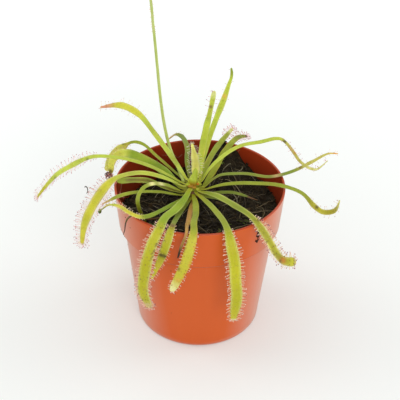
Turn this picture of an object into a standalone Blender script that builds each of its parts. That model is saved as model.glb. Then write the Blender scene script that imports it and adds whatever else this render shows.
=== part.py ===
"""A sundew in a plastic nursery pot: thin-walled pot, bed of peat, crown, rosette of strap-shaped
leaves, and a flower stalk with closed buds.

Millimetres are used throughout. +Z is up, the origin is the middle of the pot's flat base, the
front of the plant is toward -Y and its right side toward +X. Every leaf is one flattened tapering
strip: a narrow petiole that leaves the crown, and a wider lamina that carries the sticky hairs.
"""

import math

import bmesh
import bpy
import numpy as np
from mathutils import Matrix, Vector

MM = 0.001

# Pot: a tapering body under a wide collar, given by its outside radii and heights.
POT_HEIGHT = 84.5
RIM_RADIUS = 45.0
COLLAR_HEIGHT = 22.5
COLLAR_BOTTOM_RADIUS = 43.1
BODY_TOP_RADIUS = 40.6
BASE_RADIUS = 33.6
BASE_EDGE = 1.4
WALL = 1.2
FLOOR = 1.6
BASE_ROUNDING = 0.3  # share of the base's edge, at the corner between its two bevels
INNER_STEP = 1.0  # half the height over which the inside steps out
STEP_FILLET = (0.3, 0.2)  # outward and downward, where the body meets the collar
COLLAR_EDGE = (0.5, 0.6)  # inward and upward, at the collar's lower edge
RIM_BEVEL = 0.5  # height of the bevels on both edges of the rim
RIM_BEVEL_OUTSIDE = 0.4
RIM_BEVEL_INSIDE = 0.3
POT_SEGMENTS = 72
DRAIN_HOLES = 6
DRAIN_RADIUS = 3.4
DRAIN_CIRCLE = 21.0
DRAIN_SEGMENTS = 20
DRAIN_CUT = 4  # floor thicknesses, so that the cut passes well through

# Peat: lowest at the back left, heaped against the wall at the back right.
SOIL_GAP = 0.35
SOIL_LEVEL = 67.5
SOIL_HEAPS = (
    # x, y, height, spread
    (15.0, 35.0, 11.0, 10.0),
    (-27.0, 22.0, -5.0, 14.0),
    (30.0, -22.0, 2.0, 12.0),
    (-14.0, -26.0, 1.5, 9.0),
)
SOIL_RIPPLE = 0.5
SOIL_RIPPLE_X = 0.31
SOIL_RIPPLE_Y = 0.27
SOIL_EDGE_RADIUS = 40.0
SOIL_BELOW_STEP = 1.2
SOIL_EDGE_BELOW_STEP = 0.9
SOIL_EDGE_CLEARANCE = 0.6
SOIL_SEGMENTS = 40
SOIL_RINGS = 8

# Crown: the short stem that all the leaves leave from.
CROWN = (-3.5, 6.0, 78.5)
CROWN_PROFILE = (
    # radius, height from the crown's middle
    (0.0, -10.0), (3.6, -10.0), (3.4, -6.5), (4.6, -4.0), (4.9, -1.0), (3.9, 1.6), (1.6, 3.2), (0.0, 3.5),
)
CROWN_SEGMENTS = 14

# Leaves: name, azimuth in degrees, petiole width, lamina width, share of the length that is petiole,
# then waypoints of the middle line as (reach, side, height) from the crown. Reach runs outward along
# the azimuth, and side is to the left of it, seen from above.
LEAF_THICKNESS = 0.9
THICKEST = 0.8  # of the half width, where the strip is narrow
LEAF_STATIONS = 24
LEAF_SIDES = 6
FOOT_WIDTH = 0.6  # of the petiole's width, at the crown
FOOT_SHARE = 0.2  # of the length, over which the foot widens to the full petiole
SWELL = (-0.06, 0.08)  # where the petiole widens into the lamina, either side of the petiole's share
BLUNTEST_TIP = 0.6  # the last ring is never closed by more than this
TURN_STARTS = 0.15  # share of the length by which the petiole has its full turn
TURN_CHANGES = 0.25  # share of the length over which the petiole's turn passes into the blade's
LEAVES = (
    ("leaf_far_left", 164, 2.0, 3.4, 0.54,
     ((6, 0, 1), (24, 0, 8), (40, 0, 10), (56, 0, 8), (68, 0, 1), (79, 0, -8), (87, 0, -18), (93, 0, -27))),
    ("leaf_tall_left", 143, 3.0, 4.0, 0.64,
     ((5, 0, 3), (14, 0, 12), (28, 0, 24), (38, 0, 31), (47, 3, 34), (57, 9, 32))),
    ("leaf_back_loop", 139, 1.7, 5.4, 0.60,
     ((7, -3, -2.5), (28, 0, 8), (37, 0, 11), (44, 1, 10), (57, 1, -2), (68, 0, -20))),
    ("leaf_back_wide", 151, 5.0, 4.0, 0.72,
     ((7, 1, -2.5), (20, 1, 5), (35, 2, 9), (44, 2, 8), (50, 2, 1.5), (52, 2, -8))),
    ("leaf_left_arch", 189, 2.4, 5.0, 0.46,
     ((6, 1, 1.5), (16, 0, 7), (28, 0, 11), (41, 1, 9.5), (48, 0, 2), (55, 0, -10), (59, 0, -20),
      (61, 0, -33))),
    ("leaf_left_folded", 194, 2.2, 3.0, 0.52,
     ((7, -1, -3.5), (16, 0, 2), (24, 0, 7), (34, 0, 9), (41, 0, 9))),
    ("leaf_left_hooked", 204, 2.0, 2.2, 0.70,
     ((6.5, 0, -1.5), (16, 0, 5), (24, 2, 9), (30, 4, 9), (34, 7, 6), (34, 9, 0), (31, 10, -8))),
    ("leaf_left_low", 209, 1.8, 2.2, 0.74,
     ((7, 0, -3.5), (25, 0, 4.5), (41, 0, 7.5), (53, 0, 5.5))),
    ("leaf_left_spent", 238, 2.4, 2.4, 0.58,
     ((7, 0, -3), (21, 0, 0), (35, 0, 3), (44, 1, 7), (50, 0, 10), (51, -5, 11), (48, -13, 10),
      (47, -21, 7), (48, -26, 2))),
    ("leaf_left_dried", 239, 1.2, 1.2, 0.70,
     ((8, 0, -6), (30, 0, -2), (43, -2, 4.5), (47, -4, 9), (50, -7, 7), (47, -13, -8))),
    ("leaf_front_left", 250, 4.0, 5.6, 0.48,
     ((5.5, 0, 1), (18, 1.5, 3), (32, 2, 6), (45, 1.5, 9), (52, 2, 8), (58, 0, 1), (62, -2, -13),
      (62, -3, -25), (58, -1, -39))),
    ("leaf_front_left_inner", 256, 2.6, 4.8, 0.58,
     ((7, 0, -4), (22, 0, 0), (38, 1, 5), (50, 2, 7.5), (55, 1, 2), (55, -2, -8), (55, -7, -22))),
    ("leaf_front_old", 267, 2.4, 1.6, 0.66,
     ((7, 0, -5), (24, 0, 0), (38, 0, 4), (48, 0, 8), (53, 0, 7), (55, -2, 2), (55, -4, -6))),
    ("leaf_front_centre", 271, 3.2, 5.2, 0.58,
     ((6, 0, -2), (22, 1, 4), (36, 1, 7), (46, 0, 9), (52, 0, 8), (57, -2, 1), (59, -4, -6),
      (60, -7, -13), (60, -11, -23))),
    ("leaf_front_right", 290, 3.0, 5.8, 0.50,
     ((6, 0, -1), (22, 0, 4), (36, 0, 7), (48, -0.5, 9), (55, -1, 8), (60, -1, 2), (62, 0, -6),
      (64, 0, -15), (64, 1, -26), (63, 0, -42))),
    ("leaf_right_front", 308, 3.0, 4.2, 0.60,
     ((6, 0, 0), (20, 0, 5), (34, 0, 7), (50, -0.5, 8), (58, 1, 2), (65, 4, -8), (68, 6, -10.5),
      (72, 10, -10))),
    ("leaf_right_under", 317, 2.4, 2.6, 0.70,
     ((7, 0, -3), (18, 0, 1), (28, 0, 2), (38, 0, 1))),
    ("leaf_right_short", 350, 1.7, 1.6, 0.60,
     ((7, 0, -4), (21, 0, -1), (35, 0, -4))),
    ("leaf_right_curled", 348, 2.0, 2.8, 0.70,
     ((6, 0, -1), (17, 0, 4), (31, 0, 7), (47, 0, 8), (58, 0, 5), (65, 0, -2), (70, 0, -5),
      (76, 0, -3), (78, 0, 4))),
    ("leaf_right_upper", 2, 1.8, 2.0, 0.66,
     ((6, 0, 0), (14, 0, 7), (27, 0, 8), (41, 0, 6), (53, 1, 9), (63, 5, 12), (73, 12, 13), (79, 15, 11))),
    ("leaf_back_right_arch", 42, 2.1, 1.8, 0.56,
     ((6, 0, 1), (14, 0, 8), (32, 0, 12), (46, -3, 11), (57, -8, 11), (60, -14, 6), (60, -22, 1),
      (62, -31, 0), (67, -35, 6))),
    ("leaf_upright_short", 62, 3.6, 2.6, 0.66,
     ((4, -1, 5), (11, 0, 23), (18, 0, 38), (23, 0.5, 47))),
    ("leaf_upright_tall", 60, 2.8, 3.4, 0.56,
     ((5, -1, 2), (10, 0.5, 10), (18, 0.5, 22), (24, 0, 31), (31, 0, 38), (37, 0.5, 44), (41, 1, 48),
      (42, 2, 52))),
    ("leaf_centre_young", 90, 3.2, 4.4, 0.20,
     ((0.5, 0, 4.2), (1, -1, 9), (1, -1, 15), (2, 1, 26))),
    ("leaf_back_low", 107, 2.6, 2.6, 0.66,
     ((6, 0, 0), (12, 0, 8), (23, -3, 11), (36, -3, 10), (40, -1, 9), (40, 3, 6.5))),
    ("leaf_back_right_low", 65, 3.0, 2.8, 0.66,
     ((6.5, 0, -2), (18, 0, 5), (28, 0, 8), (43, 0, 9), (51, 0, 9))),
    ("leaf_back_right_dark", 51, 3.4, 3.0, 0.66,
     ((7, -1, -4), (18, 0, 2), (29, 2, 7), (41, 3, 10), (51, 3, 7))),
)

# How each leaf is turned about its own middle line, as degrees for the petiole and for the blade, then
# where along it the blade begins to narrow and how much of its width is left at the tip.
LEAF_SHAPES = {
    "leaf_far_left": (-30, -40, 0.80, 0.50),
    "leaf_tall_left": (-15, -25, 0.80, 0.35),
    "leaf_back_loop": (-15, -110, 0.88, 0.50),
    "leaf_back_wide": (-25, -90, 0.90, 0.80),
    "leaf_left_arch": (-40, -50, 0.76, 0.55),
    "leaf_left_folded": (-40, -60, 0.90, 0.70),
    "leaf_left_hooked": (-30, -15, 0.80, 0.60),
    "leaf_left_low": (-25, -30, 0.76, 0.40),
    "leaf_left_spent": (-20, -40, 0.80, 0.40),
    "leaf_left_dried": (0, 0, 0.70, 0.50),
    "leaf_front_left": (-25, -15, 0.88, 0.60),
    "leaf_front_left_inner": (-15, -5, 0.70, 0.30),
    "leaf_front_old": (0, 0, 0.80, 0.60),
    "leaf_front_centre": (0, 0, 0.80, 0.65),
    "leaf_front_right": (10, 10, 0.88, 0.55),
    "leaf_right_front": (30, 10, 0.84, 1.2),
    "leaf_right_under": (20, 20, 0.75, 0.50),
    "leaf_right_short": (35, 40, 0.60, 0.30),
    "leaf_right_curled": (35, 45, 0.88, 0.30),
    "leaf_right_upper": (25, 40, 0.70, 0.40),
    "leaf_back_right_arch": (35, 55, 0.85, 0.40),
    "leaf_upright_short": (15, 15, 0.90, 0.90),
    "leaf_upright_tall": (15, 15, 0.64, 0.42),
    "leaf_centre_young": (0, 0, 0.56, 0.30),
    "leaf_back_low": (-20, -30, 0.80, 0.50),
    "leaf_back_right_low": (20, 30, 0.75, 0.55),
    "leaf_back_right_dark": (20, 35, 0.80, 0.55),
}

# Flower stalk: waypoints (x, y, height) from the crown, then a nodding tip with closed buds.
STALK_RADIUS = 0.75
STALK_TIP_RADIUS = 0.5
STALK_POINTS = (
    (-6, 6, 1), (-9.5, 12, 7), (-13, 16, 14), (-15.5, 16, 26), (-17.5, 15, 42), (-20, 14, 75),
    (-22.5, 13, 108), (-23.5, 11, 130), (-21, 8, 146), (-14, 6, 152), (-8, 5, 147), (-6, 5, 140),
)
STALK_STATIONS = 32
STALK_SIDES = 6
BUD_LENGTH = 5.0
BUD_WIDTH = 2.6
BUD_COUNT = 7
BUD_FIRST = 0.84
BUD_LAST = 0.985
BUD_SHRINK = 0.4  # how much smaller the last bud is than the first
BUD_SWAY = 0.75  # how far the buds lean to the two sides of the stalk
BUD_LEAN = 0.65  # how far they lean to its outside
BUD_GAP = 0.35
BUD_DROOP = 0.6
BUD_STATIONS = 6
BUD_SIDES = 7
BUD_NARROWEST = 0.16  # of the bud's width, at its two ends
BUD_SECTION = (0.06, 0.94)  # the part of a sine hump that its outline follows
BUD_FULLNESS = 0.8
STALK_FINE_STATIONS = 400


POT_COLOUR = (0.60, 0.13, 0.04)
SOIL_COLOUR = (0.025, 0.016, 0.010)
CROWN_COLOUR = (0.42, 0.36, 0.05)
LEAF_COLOUR = (0.42, 0.50, 0.07)
DRY_COLOUR = (0.16, 0.07, 0.03)
STALK_COLOUR = (0.40, 0.47, 0.12)
BUD_COLOUR = (0.33, 0.38, 0.12)
SPLINE_STEPS = 24


def clear_scene():
    for obj in list(bpy.data.objects):
        bpy.data.objects.remove(obj)


def material(name, colour, roughness):
    made = bpy.data.materials.new(name)
    made.use_nodes = True
    shader = made.node_tree.nodes["Principled BSDF"]
    shader.inputs["Base Color"].default_value = (*colour, 1.0)
    shader.inputs["Roughness"].default_value = roughness
    return made


def add_object(name, points, faces, colour, roughness=0.5):
    """One closed mesh, given in millimetres."""
    mesh = bpy.data.meshes.new(name)
    mesh.from_pydata([tuple(c * MM for c in p) for p in points], [], faces)
    work = bmesh.new()
    work.from_mesh(mesh)
    bmesh.ops.recalc_face_normals(work, faces=work.faces)
    work.to_mesh(mesh)
    work.free()
    mesh.materials.append(material(name, colour, roughness))
    obj = bpy.data.objects.new(name, mesh)
    bpy.context.scene.collection.objects.link(obj)
    return obj


def lathe(profile, segments, centre=(0.0, 0.0, 0.0)):
    """Points and faces of a closed profile of (radius, height) turned round a vertical axis."""
    points = []
    faces = []
    rings = []
    for radius, height in profile:
        if radius < 1e-6:
            rings.append([len(points)] * segments)
            points.append((centre[0], centre[1], centre[2] + height))
            continue
        ring = []
        for k in range(segments):
            angle = 2 * math.pi * k / segments
            ring.append(len(points))
            points.append((
                centre[0] + radius * math.cos(angle),
                centre[1] + radius * math.sin(angle),
                centre[2] + height,
            ))
        rings.append(ring)
    for lower, upper in zip(rings[:-1], rings[1:]):
        for k in range(segments):
            after = (k + 1) % segments
            quad = [lower[k], lower[after], upper[after], upper[k]]
            corners = list(dict.fromkeys(quad))
            if len(corners) > 2:
                faces.append(corners)
    return points, faces


# ---- pot -------------------------------------------------------------------------------------


def body_radius(height):
    """Outside radius of the tapering body under the collar."""
    top = POT_HEIGHT - COLLAR_HEIGHT
    return BASE_RADIUS + (BODY_TOP_RADIUS - BASE_RADIUS) * height / top


def inner_radius(height):
    """Inside radius of the pot, which steps out above the body as the outside does."""
    top = POT_HEIGHT - COLLAR_HEIGHT
    if height <= top - INNER_STEP:
        return body_radius(height) - WALL
    if height >= top + INNER_STEP:
        share = (height - top) / COLLAR_HEIGHT
        return COLLAR_BOTTOM_RADIUS + (RIM_RADIUS - COLLAR_BOTTOM_RADIUS) * share - WALL
    low = body_radius(top - INNER_STEP) - WALL
    high = inner_radius(top + INNER_STEP)
    return low + (high - low) * (height - top + INNER_STEP) / (2 * INNER_STEP)


def pot_profile():
    top = POT_HEIGHT - COLLAR_HEIGHT
    outside = [
        (0.0, 0.0),
        (BASE_RADIUS - BASE_EDGE, 0.0),
        (BASE_RADIUS - BASE_EDGE * BASE_ROUNDING, BASE_EDGE * BASE_ROUNDING),
        (body_radius(BASE_EDGE), BASE_EDGE),
        (body_radius(top - INNER_STEP), top - INNER_STEP),
        (body_radius(top) + STEP_FILLET[0], top - STEP_FILLET[1]),
        (COLLAR_BOTTOM_RADIUS - COLLAR_EDGE[0], top),
        (COLLAR_BOTTOM_RADIUS, top + COLLAR_EDGE[1]),
        (RIM_RADIUS, POT_HEIGHT - RIM_BEVEL),
        (RIM_RADIUS - RIM_BEVEL_OUTSIDE, POT_HEIGHT),
    ]
    inside = [
        (RIM_RADIUS - WALL + RIM_BEVEL_INSIDE, POT_HEIGHT),
        (inner_radius(POT_HEIGHT - RIM_BEVEL), POT_HEIGHT - RIM_BEVEL),
        (inner_radius(top + INNER_STEP), top + INNER_STEP),
        (inner_radius(top - INNER_STEP), top - INNER_STEP),
        (inner_radius(FLOOR), FLOOR),
        (0.0, FLOOR),
    ]
    return outside + inside


def build_pot():
    points, faces = lathe(pot_profile(), POT_SEGMENTS)
    pot = add_object("pot", points, faces, POT_COLOUR, 0.45)
    cutters = bpy.data.meshes.new("drain_cutters")
    work = bmesh.new()
    for k in range(DRAIN_HOLES):
        angle = 2 * math.pi * (k + 0.5) / DRAIN_HOLES
        place = Vector((DRAIN_CIRCLE * math.cos(angle), DRAIN_CIRCLE * math.sin(angle), FLOOR / 2)) * MM
        bmesh.ops.create_cone(
            work, cap_ends=True, cap_tris=False, segments=DRAIN_SEGMENTS, radius1=DRAIN_RADIUS * MM,
            radius2=DRAIN_RADIUS * MM, depth=DRAIN_CUT * FLOOR * MM, matrix=Matrix.Translation(place),
        )
    work.to_mesh(cutters)
    work.free()
    cutter = bpy.data.objects.new("drain_cutters", cutters)
    bpy.context.scene.collection.objects.link(cutter)
    cutter.hide_render = True
    cut = pot.modifiers.new("drain_holes", "BOOLEAN")
    cut.operation = "DIFFERENCE"
    cut.solver = "EXACT"
    cut.object = cutter


# ---- soil ------------------------------------------------------------------------------------


def soil_height(x, y):
    height = SOIL_LEVEL
    for centre_x, centre_y, rise, spread in SOIL_HEAPS:
        away = (x - centre_x) ** 2 + (y - centre_y) ** 2
        height += rise * math.exp(-away / (2 * spread**2))
    height += SOIL_RIPPLE * math.sin(SOIL_RIPPLE_X * x + 1.0) * math.cos(SOIL_RIPPLE_Y * y)
    return height


def build_soil():
    """Peat with an uneven top, standing a hair's breadth clear of the wall and the floor."""
    points = []
    rings = []
    bottom = FLOOR + SOIL_GAP
    top_edge = POT_HEIGHT - COLLAR_HEIGHT
    columns = [2 * math.pi * k / SOIL_SEGMENTS for k in range(SOIL_SEGMENTS)]
    facet = math.cos(math.pi / SOIL_SEGMENTS)
    for height in (bottom, top_edge - SOIL_BELOW_STEP):
        radius = (inner_radius(height) - SOIL_GAP) * facet
        rings.append(len(points))
        points += [(radius * math.cos(a), radius * math.sin(a), height) for a in columns]
    rings.append(len(points))
    for a in columns:
        edge = soil_height(SOIL_EDGE_RADIUS * math.cos(a), SOIL_EDGE_RADIUS * math.sin(a))
        height = max(edge, top_edge - SOIL_EDGE_BELOW_STEP)
        radius = (inner_radius(height - SOIL_EDGE_CLEARANCE) - SOIL_GAP) * facet
        points.append((radius * math.cos(a), radius * math.sin(a), height))
    outer = [points[rings[-1] + k] for k in range(SOIL_SEGMENTS)]
    for ring in range(SOIL_RINGS - 1, 0, -1):
        share = ring / SOIL_RINGS
        rings.append(len(points))
        for x, y, _ in outer:
            points.append((x * share, y * share, soil_height(x * share, y * share)))
    faces = []
    for low, high in zip(rings[:-1], rings[1:]):
        for k in range(SOIL_SEGMENTS):
            after = (k + 1) % SOIL_SEGMENTS
            faces.append((low + k, low + after, high + after, high + k))
    centre = len(points)
    points.append((0.0, 0.0, soil_height(0.0, 0.0)))
    under = len(points)
    points.append((0.0, 0.0, bottom))
    for k in range(SOIL_SEGMENTS):
        after = (k + 1) % SOIL_SEGMENTS
        faces.append((rings[-1] + k, rings[-1] + after, centre))
        faces.append((rings[0] + after, rings[0] + k, under))
    add_object("soil", points, faces, SOIL_COLOUR, 0.95)


# ---- plant -----------------------------------------------------------------------------------


def smooth_path(waypoints, stations):
    """Even stations along a centripetal Catmull-Rom curve through the waypoints."""
    knots = [np.array(p, float) for p in waypoints]
    knots = [2 * knots[0] - knots[1]] + knots + [2 * knots[-1] - knots[-2]]
    dense = []
    for a, b, c, d in zip(knots[:-3], knots[1:-2], knots[2:-1], knots[3:]):
        t0 = 0.0
        t1 = t0 + np.linalg.norm(b - a) ** 0.5
        t2 = t1 + np.linalg.norm(c - b) ** 0.5
        t3 = t2 + np.linalg.norm(d - c) ** 0.5
        for t in np.linspace(t1, t2, SPLINE_STEPS, endpoint=False):
            p = (t1 - t) / (t1 - t0) * a + (t - t0) / (t1 - t0) * b
            q = (t2 - t) / (t2 - t1) * b + (t - t1) / (t2 - t1) * c
            r = (t3 - t) / (t3 - t2) * c + (t - t2) / (t3 - t2) * d
            u = (t2 - t) / (t2 - t0) * p + (t - t0) / (t2 - t0) * q
            v = (t3 - t) / (t3 - t1) * q + (t - t1) / (t3 - t1) * r
            dense.append((t2 - t) / (t2 - t1) * u + (t - t1) / (t2 - t1) * v)
    dense = np.array(dense + [knots[-2]])
    steps = np.linalg.norm(np.diff(dense, axis=0), axis=1)
    along = np.concatenate([[0.0], np.cumsum(steps)])
    wanted = np.linspace(0.0, along[-1], stations)
    return np.stack([np.interp(wanted, along, dense[:, k]) for k in range(3)], axis=1)


def frames(path, first_side):
    """Tangent, side and face direction at each station, turned as little as possible between them."""
    tangents = np.gradient(path, axis=0)
    tangents /= np.linalg.norm(tangents, axis=1)[:, None]
    sides = []
    side = first_side
    for tangent in tangents:
        side = side - tangent * (side @ tangent)
        side = side / np.linalg.norm(side)
        sides.append(side)
    sides = np.array(sides)
    return tangents, sides, np.cross(tangents, sides)


def turned(sides, faces_out, turns):
    """The side and face directions, turned about the path by an angle at each station."""
    cosines = np.cos(turns)[:, None]
    sines = np.sin(turns)[:, None]
    return sides * cosines + faces_out * sines, faces_out * cosines - sides * sines


def strip(path, first_side, half_widths, half_thicknesses, sides_count, turns=None):
    """A closed strip with a flattened round section along the path."""
    _, sides, faces_out = frames(path, first_side)
    if turns is not None:
        sides, faces_out = turned(sides, faces_out, turns)
    points = []
    faces = []
    for place, side, out, half_w, half_t in zip(path, sides, faces_out, half_widths, half_thicknesses):
        for k in range(sides_count):
            angle = 2 * math.pi * k / sides_count
            across = side * half_w * math.cos(angle)
            through = out * half_t * math.sin(angle)
            points.append(tuple(place + across + through))
    count = len(path)
    for ring in range(count - 1):
        for k in range(sides_count):
            after = (k + 1) % sides_count
            low = ring * sides_count
            high = low + sides_count
            faces.append((low + k, low + after, high + after, high + k))
    faces.append(tuple(range(sides_count)))
    faces.append(tuple(range((count - 1) * sides_count, count * sides_count)))
    return points, faces


def leaf_path(azimuth, waypoints):
    """World waypoints of a leaf given as reach, side and height from the crown."""
    angle = math.radians(azimuth)
    outward = np.array([math.cos(angle), math.sin(angle), 0.0])
    left = np.array([-math.sin(angle), math.cos(angle), 0.0])
    origin = np.array(CROWN)
    world = []
    for reach, side, height in waypoints:
        world.append(origin + outward * reach + left * side + np.array([0.0, 0.0, height]))
    return smooth_path(world, LEAF_STATIONS), left


def smooth(low, high, value):
    """Rises from 0 at low to 1 at high, gently at both ends."""
    share = min(max((value - low) / (high - low), 0.0), 1.0)
    return share * share * (3 - 2 * share)


def leaf_half_widths(petiole, lamina, petiole_share, narrows_at, tip):
    """Narrow petiole, quick swelling into the lamina, then the narrowing toward the tip."""
    swell_from, swell_to = petiole_share + SWELL[0], petiole_share + SWELL[1]
    widths = []
    for s in np.linspace(0.0, 1.0, LEAF_STATIONS):
        width = petiole + (lamina - petiole) * smooth(swell_from, swell_to, s)
        width *= min(1.0, FOOT_WIDTH + (1 - FOOT_WIDTH) * s / FOOT_SHARE)
        width *= 1 - (1 - tip) * smooth(narrows_at, 1.0, s)
        widths.append(0.5 * width)
    widths[-1] *= max(BLUNTEST_TIP, tip)
    return widths


def leaf_turns(petiole_share, petiole_turn, blade_turn):
    """How far the strip is turned about its middle line at each station, in radians."""
    turns = []
    for s in np.linspace(0.0, 1.0, LEAF_STATIONS):
        turn = petiole_turn * smooth(0.0, TURN_STARTS, s)
        turn += (blade_turn - petiole_turn) * smooth(petiole_share - TURN_CHANGES, petiole_share, s)
        turns.append(math.radians(turn))
    return turns


def build_leaves():
    for name, azimuth, petiole, lamina, share, waypoints in LEAVES:
        petiole_turn, blade_turn, narrows_at, tip = LEAF_SHAPES[name]
        path, left = leaf_path(azimuth, waypoints)
        widths = leaf_half_widths(petiole, lamina, share, narrows_at, tip)
        turns = leaf_turns(share, petiole_turn, blade_turn)
        thick = [min(LEAF_THICKNESS / 2, w * THICKEST) for w in widths]
        points, faces = strip(path, left, widths, thick, LEAF_SIDES, turns)
        dry = name.endswith(("dried", "old"))
        colour = DRY_COLOUR if dry else LEAF_COLOUR
        add_object(name, points, faces, colour, 0.45)


def build_crown():
    points, faces = lathe(CROWN_PROFILE, CROWN_SEGMENTS, CROWN)
    add_object("crown", points, faces, CROWN_COLOUR, 0.5)


def stalk_path():
    world = [np.array(CROWN) + np.array(p, float) for p in STALK_POINTS]
    return smooth_path(world, STALK_STATIONS)


def build_stalk():
    path = stalk_path()
    radii = np.linspace(STALK_RADIUS, STALK_TIP_RADIUS, STALK_STATIONS)
    points, faces = strip(path, np.array([0.0, 1.0, 0.0]), radii, radii, STALK_SIDES)
    add_object("flower_stalk", points, faces, STALK_COLOUR, 0.45)


def build_buds():
    """Closed buds in two rows along the outside of the nodding tip, each a pointed drop."""
    world = [np.array(CROWN) + np.array(p, float) for p in STALK_POINTS]
    path = smooth_path(world, STALK_FINE_STATIONS)
    tangents, sides, outs = frames(path, np.array([0.0, 1.0, 0.0]))
    for number in range(BUD_COUNT):
        share = BUD_FIRST + (BUD_LAST - BUD_FIRST) * number / (BUD_COUNT - 1)
        index = int(share * (STALK_FINE_STATIONS - 1))
        size = 1.0 - BUD_SHRINK * number / (BUD_COUNT - 1)
        sway = BUD_SWAY if number % 2 else -BUD_SWAY
        outward = sides[index] * sway - outs[index] * BUD_LEAN
        outward /= np.linalg.norm(outward)
        start = path[index] + outward * (STALK_RADIUS + BUD_GAP)
        stations = []
        widths = []
        for s in np.linspace(0.0, 1.0, BUD_STATIONS):
            stations.append(start + outward * BUD_LENGTH * size * s + tangents[index] * BUD_DROOP * s * s)
            hump = math.sin(math.pi * (BUD_SECTION[0] + (BUD_SECTION[1] - BUD_SECTION[0]) * s))
            widths.append(0.5 * BUD_WIDTH * size * max(BUD_NARROWEST, hump ** BUD_FULLNESS))
        points, faces = strip(np.array(stations), tangents[index], widths, widths, BUD_SIDES)
        add_object("flower_bud_%d" % (number + 1), points, faces, BUD_COLOUR, 0.5)


clear_scene()
build_pot()
build_soil()
build_crown()
build_leaves()
build_stalk()
build_buds()
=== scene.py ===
"""The looks of a potted sundew: a terracotta-coloured nursery pot, peat with fibres and moss, a rosette
of strap leaves with sticky hairs, and a flower stalk with closed buds.

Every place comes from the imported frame. The leaves' middle lines, widths and face directions are read
from the rings of the CAD leaves, the wall from the CAD pot, and the bed's level from the CAD soil.
Lengths are in metres; MM turns a value in millimetres into metres.
"""

import math

import bmesh
import bpy
import numpy as np
from mathutils import Matrix, Vector, noise
from mathutils.bvhtree import BVHTree


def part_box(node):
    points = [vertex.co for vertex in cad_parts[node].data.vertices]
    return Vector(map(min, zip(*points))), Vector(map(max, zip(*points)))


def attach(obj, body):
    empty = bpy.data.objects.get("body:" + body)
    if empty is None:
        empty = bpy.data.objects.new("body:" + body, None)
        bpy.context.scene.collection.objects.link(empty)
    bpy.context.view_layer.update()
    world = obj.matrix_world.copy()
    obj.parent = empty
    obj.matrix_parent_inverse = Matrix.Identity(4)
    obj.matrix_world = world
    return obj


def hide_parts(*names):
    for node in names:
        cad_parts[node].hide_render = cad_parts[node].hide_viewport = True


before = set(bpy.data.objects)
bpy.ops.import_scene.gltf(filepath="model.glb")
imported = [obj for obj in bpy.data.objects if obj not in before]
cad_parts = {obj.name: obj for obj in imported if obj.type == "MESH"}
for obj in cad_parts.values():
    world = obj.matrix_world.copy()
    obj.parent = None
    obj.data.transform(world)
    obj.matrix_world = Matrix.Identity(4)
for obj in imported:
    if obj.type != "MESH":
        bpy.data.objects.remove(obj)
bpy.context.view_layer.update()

MM = 0.001
UP = np.array([0.0, 0.0, 1.0])
TURN = 2 * math.pi
WHITE = (1.0, 1.0, 1.0, 1.0)

# Colours as they show, in 0-255 steps
COLOURS = {
    "fresh": (134, 164, 34),
    "petiole": (144, 158, 44),
    "bright": (188, 204, 78),
    "shade": (116, 136, 46),
    "pale": (222, 224, 150),
    "lime": (194, 190, 40),
    "green": (190, 206, 68),
    "yellow": (210, 202, 64),
    "light": (250, 245, 142),
    "sunny": (214, 212, 64),
    "tan": (204, 150, 88),
    "khaki": (190, 182, 96),
    "sunlit": (240, 246, 108),
    "mustard": (178, 172, 46),
    "cream": (240, 234, 166),
    "gold": (226, 184, 76),
    "orange": (222, 132, 56),
    "blush": (228, 158, 126),
    "pinkish": (200, 170, 116),
    "rosy": (248, 214, 196),
    "olive": (112, 126, 42),
    "brown": (116, 80, 46),
    "dark": (62, 46, 34),
    "core": (170, 172, 40),
    "leafy": (182, 190, 44),
    "amber": (168, 124, 26),
    "rust": (210, 126, 28),
}


def linear(colour):
    """A colour, by name or in 0-255 steps, as linear light."""
    shares = [c / 255 for c in (COLOURS[colour] if isinstance(colour, str) else colour)]
    return np.array([s / 12.92 if s <= 0.04045 else ((s + 0.055) / 1.055) ** 2.4 for s in shares])


def blend(first, second, share):
    return first + (second - first) * share


def seeded(name):
    return np.random.default_rng(sum(ord(c) * (k + 7) for k, c in enumerate(name)))


def smoothstep(low, high, value):
    share = np.clip((value - low) / (high - low), 0.0, 1.0)
    return share * share * (3 - 2 * share)


def unit(vectors):
    return vectors / np.linalg.norm(vectors, axis=-1, keepdims=True)


def around(radius, angle, height=0.0):
    """The point at this radius, angle and height about the pot's axis."""
    return np.array([radius * math.cos(angle), radius * math.sin(angle), height])


def linked(name, data):
    """A new object with this data, in the scene."""
    obj = bpy.data.objects.new(name, data)
    bpy.context.scene.collection.objects.link(obj)
    return obj


# ---- meshes ----------------------------------------------------------------------------------


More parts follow.
